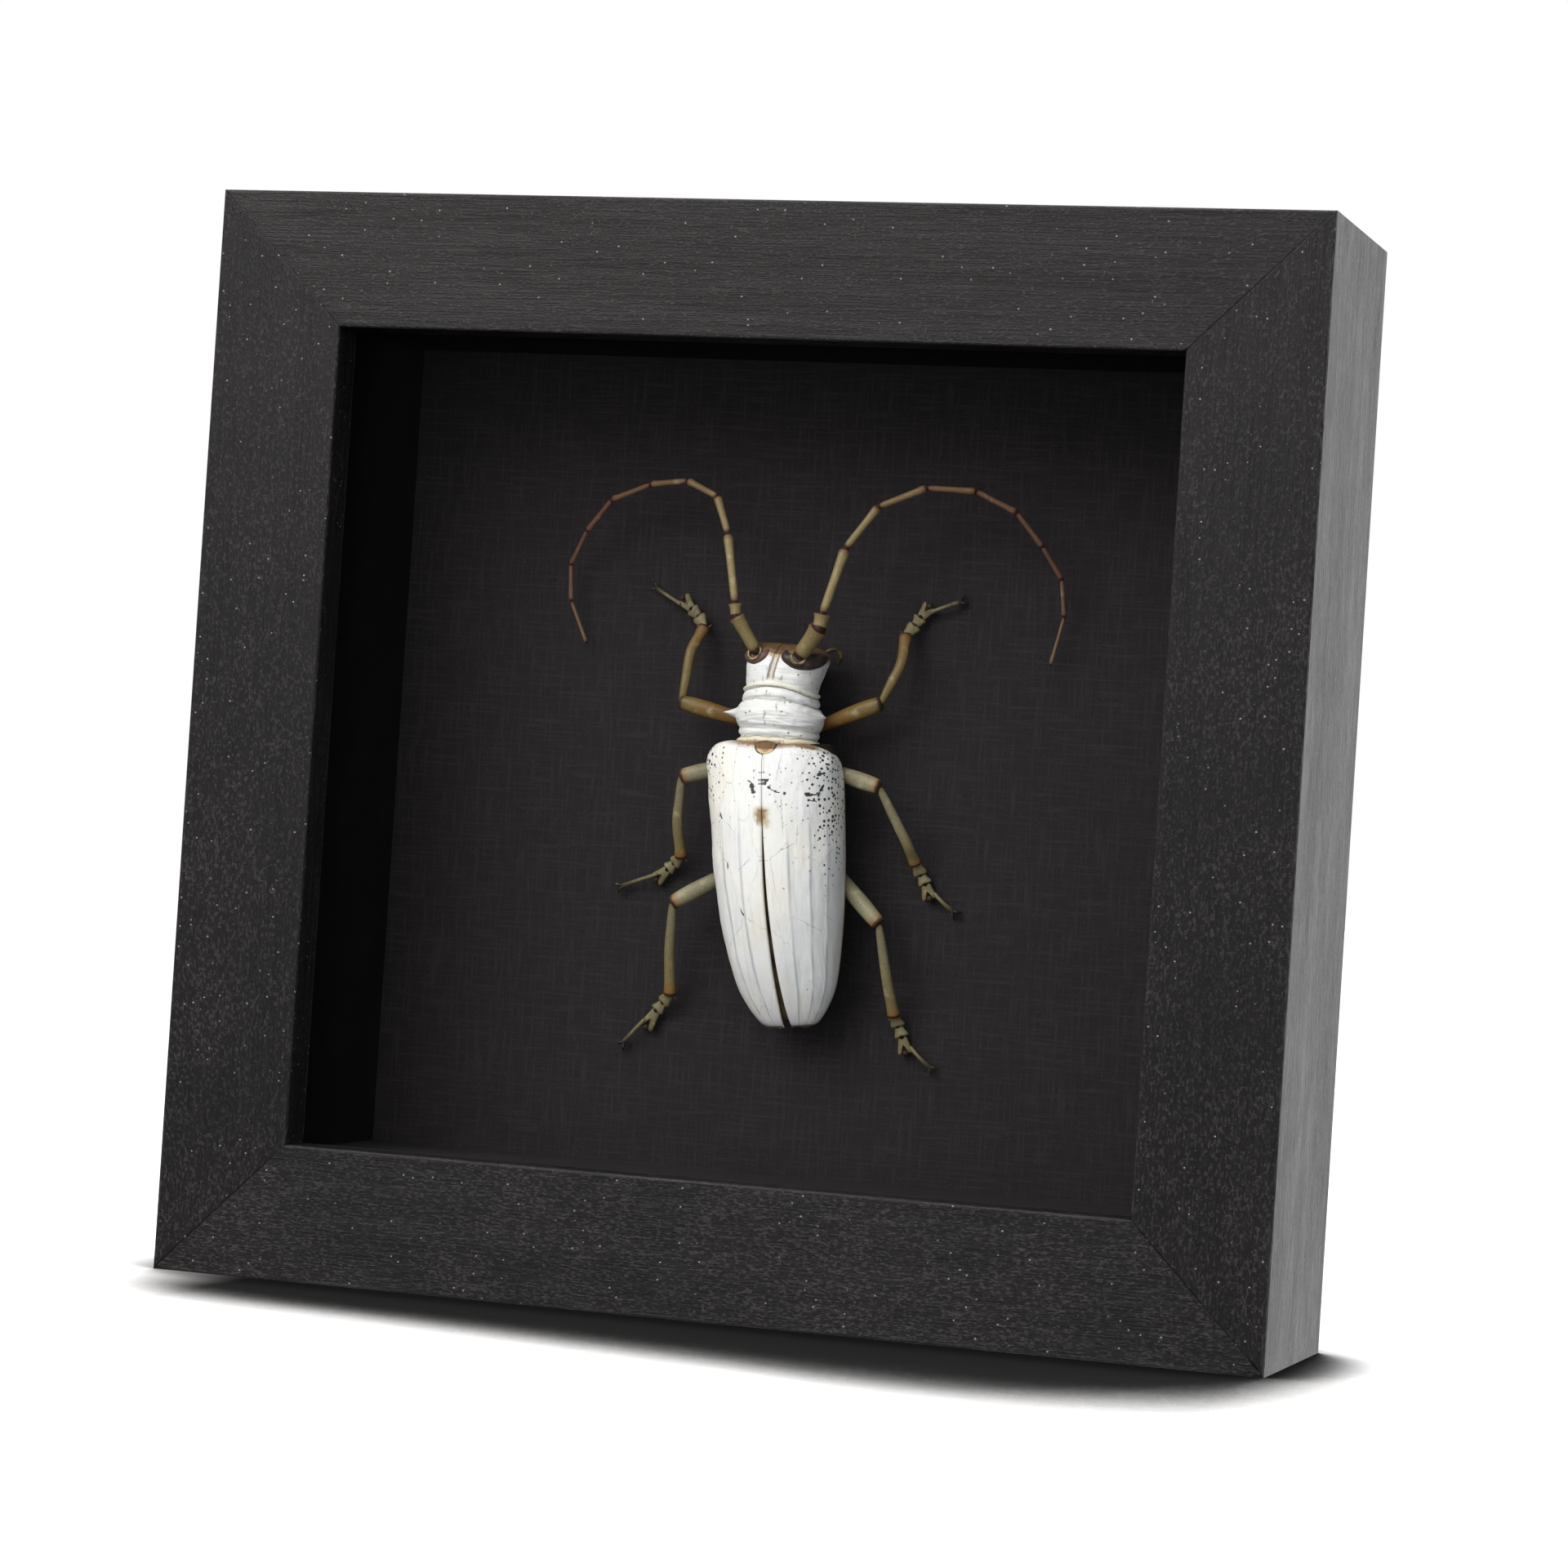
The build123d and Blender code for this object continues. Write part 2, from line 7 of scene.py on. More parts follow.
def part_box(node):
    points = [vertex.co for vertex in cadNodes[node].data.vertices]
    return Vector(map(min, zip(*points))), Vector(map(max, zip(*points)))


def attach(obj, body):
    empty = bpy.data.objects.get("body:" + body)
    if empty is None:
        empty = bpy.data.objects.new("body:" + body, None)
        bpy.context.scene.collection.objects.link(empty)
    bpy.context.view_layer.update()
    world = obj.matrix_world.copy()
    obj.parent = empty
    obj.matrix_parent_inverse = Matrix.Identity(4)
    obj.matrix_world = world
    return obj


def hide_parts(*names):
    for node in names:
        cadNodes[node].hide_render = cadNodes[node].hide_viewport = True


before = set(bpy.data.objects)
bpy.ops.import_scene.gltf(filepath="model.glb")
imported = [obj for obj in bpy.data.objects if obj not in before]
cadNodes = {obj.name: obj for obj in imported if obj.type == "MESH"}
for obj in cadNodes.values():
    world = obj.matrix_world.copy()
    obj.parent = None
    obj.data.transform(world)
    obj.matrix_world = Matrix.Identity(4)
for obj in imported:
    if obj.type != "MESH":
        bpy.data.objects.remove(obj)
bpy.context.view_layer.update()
scene = bpy.context.scene
print("frame loaded:", len(cadNodes), "nodes")

mm = 0.001
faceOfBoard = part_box("mount_board")[0][1] / mm  # the paper that the beetle lies on, in millimetres
caseMiddle = (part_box("left_rail")[0][2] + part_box("left_rail")[1][2]) / 2 / mm
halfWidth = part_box("right_rail")[1][0] / mm
halfHeight = caseMiddle
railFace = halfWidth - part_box("right_rail")[0][0] / mm


def linear(code):  # an sRGB hex colour as the linear values that shaders want
    parts = [int(code[i:i + 2], 16) / 255 for i in (1, 3, 5)]
    return [p / 12.92 if p <= 0.04045 else ((p + 0.055) / 1.055) ** 2.4 for p in parts] + [1]


def per(*sizes):  # the Mapping scale that gives a pattern these sizes in millimetres
    return [1 / (size * mm) for size in sizes]


def addNode(tree, kind, inputs=None, stops=None, **settings):
    # a node with its settings, values, links and colour stops
    node = tree.nodes.new(kind)
    for name, value in settings.items():
        setattr(node, name, value)
    for key, value in (inputs or {}).items():
        socket = node.inputs[key] if isinstance(key, int) else [
            s for s in node.inputs if s.enabled and s.name == key
        ][0]
        source = [s for s in value.outputs if s.enabled][0] if isinstance(value, bpy.types.Node) else value
        if isinstance(source, bpy.types.NodeSocket):
            tree.links.new(source, socket)
        else:
            socket.default_value = value
    if stops:
        ramp = node.color_ramp.elements
        while len(ramp) < len(stops):
            ramp.new(1)
        for element, (position, code) in zip(ramp, stops):
            element.position = position
            element.color = linear(code)
    return node


def coats(tree, colour, layers):  # colours laid over a base, each where its pattern runs from a low to a high value
    for value, low, high, amount, code in layers:
        cover = addNode(tree, "ShaderNodeMapRange", {
            "Value": value, "From Min": low, "From Max": high, "To Min": 0.0, "To Max": amount,
        }, interpolation_type="SMOOTHSTEP")
        colour = addNode(tree, "ShaderNodeMix", {"Factor": cover, "A": colour, "B": linear(code)}, data_type="RGBA")
    return colour


def spots(tree, place, marks, softness):  # 1 inside any of the marks, 0 outside
    total = None
    for mark in marks:
        turned = addNode(tree, "ShaderNodeMapping", {
            "Vector": place, "Location": (*mark["at"], 0), "Rotation": (0, 0, math.radians(mark["turn"])),
            "Scale": (*mark["size"], 1),
        }, vector_type="TEXTURE")
        reach = addNode(tree, "ShaderNodeVectorMath", {0: turned}, operation="LENGTH").outputs["Value"]
        inside = addNode(tree, "ShaderNodeMapRange", {
            "Value": reach, "From Min": 1 + softness, "From Max": 1 - softness,
        }, interpolation_type="SMOOTHSTEP")
        total = addNode(tree, "ShaderNodeMath", {0: total, 1: inside}, operation="MAXIMUM") if total else inside
    return total


def newMaterial(name):
    material = bpy.data.materials.new(name)
    material.use_nodes = True
    tree = material.node_tree
    tree.nodes.clear()
    return material, tree, addNode(tree, "ShaderNodeTexCoord").outputs["Object"]


def finishMaterial(tree, colour, relief=None, strength=0.4, depth=0.1, **values):
    # colour and relief on one plain shader, the depth of the relief in millimetres
    inputs = {"Base Color": colour}
    if relief:
        inputs["Normal"] = addNode(tree, "ShaderNodeBump", {
            "Strength": strength, "Distance": depth * mm, "Height": relief,
        })
    inputs.update({name.replace("_", " "): value for name, value in values.items()})
    shader = addNode(tree, "ShaderNodeBsdfPrincipled", inputs)
    addNode(tree, "ShaderNodeOutputMaterial", {"Surface": shader})


def dress(names, material):  # a new finish for CAD nodes that keep their shape
    for name in names:
        for place in cadNodes[name].material_slots:
            place.material = material


blackWood = {
    "streak": (60, 7, 2.2), "grain": (9, 0.4, 0.22), "speck": (0.6, 0.32, 0.3), "dust": (1.4, 1.2, 1.2),
    "sideSheenStreak": (3.2, 0.2, 0.2),  # along, in depth, across
    "mitreLine": 0.12, "edge": 0.45, "sightEdge": railFace + 2,
    "nicks": [  # small cuts at the lower right corner
        {"at": (78.1, 1.5), "size": (0.85, 0.2), "turn": -48},
        {"at": (77.2, 0.5), "size": (0.5, 0.14), "turn": 8},
    ],
}


def stainedWood(name, alongX):
    # black stained ayous, planed and not filled: its open pores catch grey dust in tiny flecks,
    # and its low sheen is streaky
    w = blackWood
    material, tree, place = newMaterial(name)
    fields = {}
    for part, detail in (("streak", 4), ("grain", 4), ("speck", 3), ("sideSheenStreak", 3)):
        along, deep, wide = w[part]
        scale = per(along, deep, wide) if alongX else per(wide, deep, along)
        lie = addNode(tree, "ShaderNodeMapping", {"Vector": place, "Scale": scale})
        fields[part] = addNode(tree, "ShaderNodeTexNoise", {
            "Vector": lie, "Scale": 1.0, "Detail": detail, "Roughness": 0.62,
        })
    clouds = addNode(tree, "ShaderNodeTexNoise", {"Vector": place, "Scale": 60.0, "Detail": 3.0})  # 17 mm
    dustLie = addNode(tree, "ShaderNodeMapping", {"Vector": place, "Scale": per(*w["dust"])})
    dust = addNode(tree, "ShaderNodeTexVoronoi", {"Vector": dustLie, "Scale": 1.0})
    dustPick = addNode(tree, "ShaderNodeSeparateColor", {0: dust.outputs["Color"]})
    dustRare = addNode(tree, "ShaderNodeMath", {0: dustPick, 1: 0.6}, operation="GREATER_THAN")
    dustDot = addNode(tree, "ShaderNodeMapRange", {
        "Value": dust.outputs["Distance"], "From Min": 0.13, "From Max": 0.05, "To Min": 0.0, "To Max": dustRare,
    })
    openPores = addNode(tree, "ShaderNodeMapRange", {
        "Value": clouds, "From Min": 0.3, "From Max": 0.7, "To Min": 0.42, "To Max": 1.0,
    })
    flecks = addNode(tree, "ShaderNodeMapRange", {
        "Value": fields["speck"], "From Min": 0.48, "From Max": 0.68, "To Min": 0.0, "To Max": openPores,
    })
    axes = addNode(tree, "ShaderNodeSeparateXYZ", {0: place})
    aside = addNode(tree, "ShaderNodeMath", {0: axes.outputs["X"]}, operation="ABSOLUTE")
    fromSide = addNode(tree, "ShaderNodeMath", {0: aside, 1: halfWidth * mm}, operation="SUBTRACT")
    offCentre = addNode(tree, "ShaderNodeMath", {0: axes.outputs["Z"], 1: caseMiddle * mm}, operation="SUBTRACT")
    upright = addNode(tree, "ShaderNodeMath", {0: offCentre}, operation="ABSOLUTE")
    fromTop = addNode(tree, "ShaderNodeMath", {0: upright, 1: halfHeight * mm}, operation="SUBTRACT")
    difference = addNode(tree, "ShaderNodeMath", {0: fromSide, 1: fromTop}, operation="SUBTRACT")
    fromMitre = addNode(tree, "ShaderNodeMath", {0: difference}, operation="ABSOLUTE")
    tightness = addNode(tree, "ShaderNodeMapRange", {  # the mitres close tight in places and show as a line in others
        "Value": clouds, "From Min": 0.42, "From Max": 0.6, "To Min": 0.15, "To Max": 1.0,
    })
    joint = addNode(tree, "ShaderNodeMapRange", {
        "Value": fromMitre, "From Min": 1.8 * w["mitreLine"] * mm, "From Max": 0.5 * w["mitreLine"] * mm,
        "To Min": 0.0, "To Max": tightness,
    })
    rounded = addNode(tree, "ShaderNodeBevel", {"Radius": w["edge"] * mm}, samples=4)
    flat = addNode(tree, "ShaderNodeNewGeometry").outputs["Normal"]
    facing = addNode(tree, "ShaderNodeVectorMath", {0: rounded, 1: flat}, operation="DOT_PRODUCT").outputs["Value"]
    sideways = addNode(tree, "ShaderNodeSeparateXYZ", {0: flat}).outputs["X"]
    unsigned = addNode(tree, "ShaderNodeMath", {0: sideways}, operation="ABSOLUTE")
    onSide = addNode(tree, "ShaderNodeMapRange", {
        "Value": fromSide, "From Min": -0.6 * mm, "From Max": -0.3 * mm, "To Min": 0.0, "To Max": unsigned,
    })
    # painted sheen: lighter streaks on the outer side faces only, standing in for the satin stain's shine at a grazing
    # view
    paintedSideSheen = addNode(tree, "ShaderNodeMapRange", {
        "Value": fields["sideSheenStreak"], "From Min": 0.42, "From Max": 0.62, "To Min": 0.0, "To Max": onSide,
    })
    awayFromMitre = addNode(tree, "ShaderNodeMapRange", {
        "Value": fromMitre, "From Min": 0.6 * mm, "From Max": 1.6 * mm,
    })
    lowDown = addNode(tree, "ShaderNodeMapRange", {
        "Value": axes.outputs["Z"], "From Min": w["sightEdge"] * mm, "From Max": (w["sightEdge"] + 1) * mm,
        "To Min": 0.9, "To Max": 0.4,
    })  # the lower rail's edges are the lightest: handled most, and a painted highlight
    edgeWearAndHighlightShare = addNode(tree, "ShaderNodeMath", {0: awayFromMitre, 1: lowDown}, operation="MULTIPLY")
    patchy = addNode(tree, "ShaderNodeMath", {0: edgeWearAndHighlightShare, 1: fields["grain"]}, operation="MULTIPLY")
    # lighter edges: wear, and a painted highlight where the rounded edges catch the lamp, strongest on the lower rail
    edgeWearAndHighlight = addNode(tree, "ShaderNodeMapRange", {
        "Value": facing, "From Min": 0.995, "From Max": 0.9, "To Min": 0.0, "To Max": patchy,
    })
    frontPlace = addNode(tree, "ShaderNodeCombineXYZ", {"X": axes.outputs["X"], "Y": axes.outputs["Z"]})
    inMillimetres = addNode(tree, "ShaderNodeVectorMath", {0: frontPlace, 1: (1 / mm, 1 / mm, 0)}, operation="MULTIPLY")
    nicks = spots(tree, inMillimetres, w["nicks"], 0.3)
    colour = coats(tree, linear("#111012"), [
        (fields["streak"], 0.38, 0.66, 0.5, "#1b1a1d"), (fields["grain"], 0.42, 0.66, 0.45, "#262426"),
        (clouds, 0.45, 0.75, 0.3, "#211d20"), (flecks, 0.0, 1.0, 0.34, "#5b5856"), (dustDot, 0.0, 1.0, 0.75, "#9a9894"),
        (paintedSideSheen, 0.0, 1.0, 0.75, "#59585d"), (edgeWearAndHighlight, 0.0, 0.6, 0.9, "#74716c"),
        (joint, 0.0, 1.0, 0.9, "#030303"), (nicks, 0.0, 1.0, 0.9, "#030303"),
    ])
    pores = addNode(tree, "ShaderNodeMath", {0: fields["grain"], 1: flecks}, operation="ADD")
    relief = addNode(tree, "ShaderNodeMath", {0: pores, 1: joint}, operation="SUBTRACT")
    sheen = addNode(tree, "ShaderNodeMath", {0: fields["streak"], 1: 0.5, 2: fields["grain"]}, operation="MULTIPLY_ADD")
    rough = addNode(tree, "ShaderNodeMapRange", {
        "Value": sheen, "From Min": 0.55, "From Max": 0.95, "To Min": 0.52, "To Max": 0.3,
    })
    finishMaterial(tree, colour, relief, 0.6, 0.12, Roughness=rough, IOR=1.5, Specular_IOR_Level=0.26)
    return material


def paintedLiner(name):  # matt black paint on wooden strips: brush lines, nearly no shine, and what faces up painted lighter: dust, and painted light from above
    material, tree, place = newMaterial(name)
    lie = addNode(tree, "ShaderNodeMapping", {"Vector": place, "Scale": per(0.6, 9, 9)})
    lines = addNode(tree, "ShaderNodeTexNoise", {"Vector": lie, "Scale": 1.0, "Detail": 3.0})
    blotch = addNode(tree, "ShaderNodeTexNoise", {"Vector": place, "Scale": 110.0, "Detail": 3.0})  # 9 mm
    faces = addNode(tree, "ShaderNodeNewGeometry").outputs["Normal"]
    upward = addNode(tree, "ShaderNodeSeparateXYZ", {0: faces}).outputs["Z"]
    # faces that look up are painted lighter: dust, and painted light from above
    colour = coats(tree, linear("#0c0b0c"), [
        (lines, 0.5, 0.72, 0.6, "#181617"), (blotch, 0.5, 0.8, 0.5, "#121011"), (upward, 0.5, 0.9, 0.7, "#3a3839"),
    ])
    finishMaterial(tree, colour, lines, 0.3, 0.1, Roughness=0.8, IOR=1.4, Specular_IOR_Level=0.18)
    return material


def clearPane(name):  # thin float glass with a low-reflection coat: what is behind it shows, and it hardly mirrors
    material, tree, place = newMaterial(name)
    smear = addNode(tree, "ShaderNodeTexNoise", {"Vector": place, "Scale": 35.0, "Detail": 4.0})  # 30 mm wiping marks
    rough = addNode(tree, "ShaderNodeMapRange", {
        "Value": smear, "From Min": 0.3, "From Max": 0.7, "To Min": 0.02, "To Max": 0.08,
    })
    finishMaterial(tree, linear("#0b0e0d"), Roughness=rough, IOR=1.5, Alpha=0.06)
    return material


linen = {"thread": 0.34, "slub": 7.0}


def linenPaper(name):
    # dyed paper pressed with a linen weave: fine crossing threads, here and there a thicker one
    # the real threads are about 0.25 mm, drawn slightly coarser so that they show
    material, tree, place = newMaterial(name)
    threads = []
    for size in ((linen["slub"], 3, linen["thread"]), (linen["thread"], 3, linen["slub"])):
        lie = addNode(tree, "ShaderNodeMapping", {"Vector": place, "Scale": per(*size)})
        threads.append(addNode(tree, "ShaderNodeTexNoise", {
            "Vector": lie, "Scale": 1.0, "Detail": 2.0, "Roughness": 0.5,
        }))
    cloth = addNode(tree, "ShaderNodeMath", {0: threads[0], 1: threads[1]}, operation="MAXIMUM")
    lint = addNode(tree, "ShaderNodeTexNoise", {"Vector": place, "Scale": 3500.0, "Detail": 1.0})  # 0.3 mm tooth
    colour = coats(tree, linear("#232021"), [(cloth, 0.46, 0.72, 0.55, "#342f33"), (lint, 0.6, 0.78, 0.25, "#4a4548")])
    finishMaterial(tree, colour, cloth, 0.45, 0.1, Roughness=0.9, IOR=1.4, Specular_IOR_Level=0.3)
    return material


def hardboard(name):  # pressed wood fibre: brown and mottled, its short fibres lying every way
    material, tree, place = newMaterial(name)
    fibres = []
    for size in ((2.4, 2.4, 0.32), (0.32, 2.4, 2.4)):
        lie = addNode(tree, "ShaderNodeMapping", {"Vector": place, "Scale": per(*size)})
        fibres.append(addNode(tree, "ShaderNodeTexNoise", {
            "Vector": lie, "Scale": 1.0, "Detail": 4.0, "Roughness": 0.65,
        }))
    fleece = addNode(tree, "ShaderNodeMath", {0: fibres[0], 1: fibres[1]}, operation="MAXIMUM")
    mottle = addNode(tree, "ShaderNodeTexNoise", {"Vector": place, "Scale": 70.0, "Detail": 3.0})  # 14 mm
    colour = coats(tree, linear("#5f4430"), [
        (fleece, 0.45, 0.75, 0.9, "#92704f"), (mottle, 0.35, 0.75, 0.5, "#70523a"),
    ])
    finishMaterial(tree, colour, fleece, 0.4, 0.1, Roughness=0.66, IOR=1.45)
    return material


def platedSteel(name, bright, dull):  # pressed or turned steel under zinc: fine rolling lines and duller patches
    material, tree, place = newMaterial(name)
    lie = addNode(tree, "ShaderNodeMapping", {"Vector": place, "Scale": per(6, 0.12, 0.12)})
    lines = addNode(tree, "ShaderNodeTexNoise", {"Vector": lie, "Scale": 1.0, "Detail": 3.0})
    patches = addNode(tree, "ShaderNodeTexNoise", {"Vector": place, "Scale": 260.0, "Detail": 4.0})  # 4 mm
    colour = coats(tree, linear(bright), [(patches, 0.42, 0.68, 1.0, dull)])
    rough = addNode(tree, "ShaderNodeMapRange", {
        "Value": patches, "From Min": 0.3, "From Max": 0.7, "To Min": 0.26, "To Max": 0.46,
    })
    finishMaterial(tree, colour, lines, 0.25, 0.03, Roughness=rough, Metallic=1.0)
    return material


def softSolid(name, base, layers, relief, strength, roughness, index=1.5):
    # a plain moulded, poured or grown stuff: blotches of a few sizes over one colour
    material, tree, place = newMaterial(name)
    fields = [
        addNode(tree, "ShaderNodeTexNoise", {"Vector": place, "Scale": 1 / (size * mm), "Detail": 4.0})
        for size, *_ in layers
    ]
    colour = coats(tree, linear(base), [(field, *layer[1:]) for field, layer in zip(fields, layers)])
    finishMaterial(tree, colour, fields[relief], strength, 0.08, Roughness=roughness, IOR=index)
    return material


dress(["top_rail", "bottom_rail"], stainedWood("blackStainedAyousAcross", True))
dress(["left_rail", "right_rail"], stainedWood("blackStainedAyousUpright", False))
dress([n for n in cadNodes if n.endswith("_liner")], paintedLiner("mattBlackLinerPaint"))
dress(["glass_pane"], clearPane("coatedFloatGlass"))
dress(["mount_board"], linenPaper("linenPressedPaper"))
dress(["back_board"], hardboard("brownHardboard"))
buttonNodes = [n for n in cadNodes if n.startswith("turn_button") and not n.endswith("screws")]
dress(buttonNodes + ["sawtooth_hanger"], platedSteel("zincPlatedSteel", "#b9bab6", "#8f918e"))
dress(["turn_button_screws", "hanger_nails", "corner_v_nails"], platedSteel("brightWireSteel", "#c9c8c4", "#9b9994"))
dress(["wall_bumpers"], softSolid(  # moulded rubber: dull, faintly speckled with dust
    "mouldedBumperRubber", "#2a2a2b",
    [(0.3, 0.45, 0.7, 0.8, "#454547"), (1.5, 0.5, 0.75, 0.4, "#3a3a3b")], 0, 0.3, 0.78))
dress(["glue_pads"], softSolid(  # poured hide glue gone hard: amber, cloudy and a little glossy
    "hideGlue", "#c9a765", [(0.9, 0.35, 0.7, 0.9, "#e9dcb4"), (0.3, 0.55, 0.7, 0.4, "#9c7a3c")], 0, 0.3, 0.35, 1.52))
print("case dressed")

# Marks on the wing cases: across from the middle and down from the base, half lengths along and across, and turn
wornMarks = [
    {"at": (-1.0, 5.9), "size": (0.6, 0.3), "turn": 75}, {"at": (-0.85, 6.6), "size": (0.35, 0.26), "turn": 30},
    {"at": (-1.35, 5.2), "size": (0.4, 0.08), "turn": 15}, {"at": (0.35, 5.1), "size": (0.34, 0.2), "turn": -25},
    {"at": (0.15, 5.5), "size": (0.16, 0.28), "turn": 0}, {"at": (0.75, 6.2), "size": (0.24, 0.18), "turn": 20},
    {"at": (1.55, 6.7), "size": (0.75, 0.1), "turn": 22}, {"at": (2.9, 7.1), "size": (0.3, 0.24), "turn": 20},
    {"at": (7.9, 4.4), "size": (0.38, 0.32), "turn": -20}, {"at": (8.5, 4.2), "size": (0.4, 0.1), "turn": -10},
    {"at": (6.1, 7.35), "size": (0.42, 0.32), "turn": 0}, {"at": (7.2, 7.4), "size": (0.95, 0.14), "turn": -12},
    {"at": (8.3, 6.6), "size": (0.55, 0.2), "turn": -52}, {"at": (6.9, 8.3), "size": (0.7, 0.07), "turn": 6},
    {"at": (-6.3, 9.7), "size": (0.5, 0.14), "turn": 62}, {"at": (-5.4, 16.7), "size": (0.45, 0.11), "turn": 84},
    {"at": (-3.4, 23.3), "size": (0.5, 0.12), "turn": 62},
]
hairCracks = [
    {"at": (2.7, 14.8), "size": (1.5, 0.06), "turn": -26}, {"at": (2.1, 3.0), "size": (2.3, 0.05), "turn": 100},
    {"at": (2.5, 10.0), "size": (2.8, 0.05), "turn": 88}, {"at": (-4.6, 11.4), "size": (1.3, 0.04), "turn": 48},
    {"at": (4.5, 13.2), "size": (1.2, 0.04), "turn": 94}, {"at": (-2.6, 16.8), "size": (1.4, 0.04), "turn": 140},
    {"at": (0.9, 19.0), "size": (2.4, 0.045), "turn": 84}, {"at": (-6.9, 13.0), "size": (2.0, 0.035), "turn": 84},
]
sutureStain = [
    {"at": (-0.1, 9.8), "size": (0.95, 0.75), "turn": 84}, {"at": (0.2, 10.8), "size": (0.9, 0.42), "turn": 80},
]
sutureCore = [
    {"at": (-0.15, 10.2), "size": (1.0, 0.28), "turn": 92}, {"at": (0.05, 9.4), "size": (0.35, 0.3), "turn": 0},
]
baseStain = [{"at": (0.2, -0.4), "size": (5.0, 0.82), "turn": 0}, {"at": (5.6, -0.1), "size": (2.6, 0.45), "turn": 8}]
puncture = {"cell": 0.76, "smallest": 0.08, "largest": 0.19}
veins = {"left": (0.2, 0.43), "right": (0.21, 0.44, 0.66), "width": 0.03}


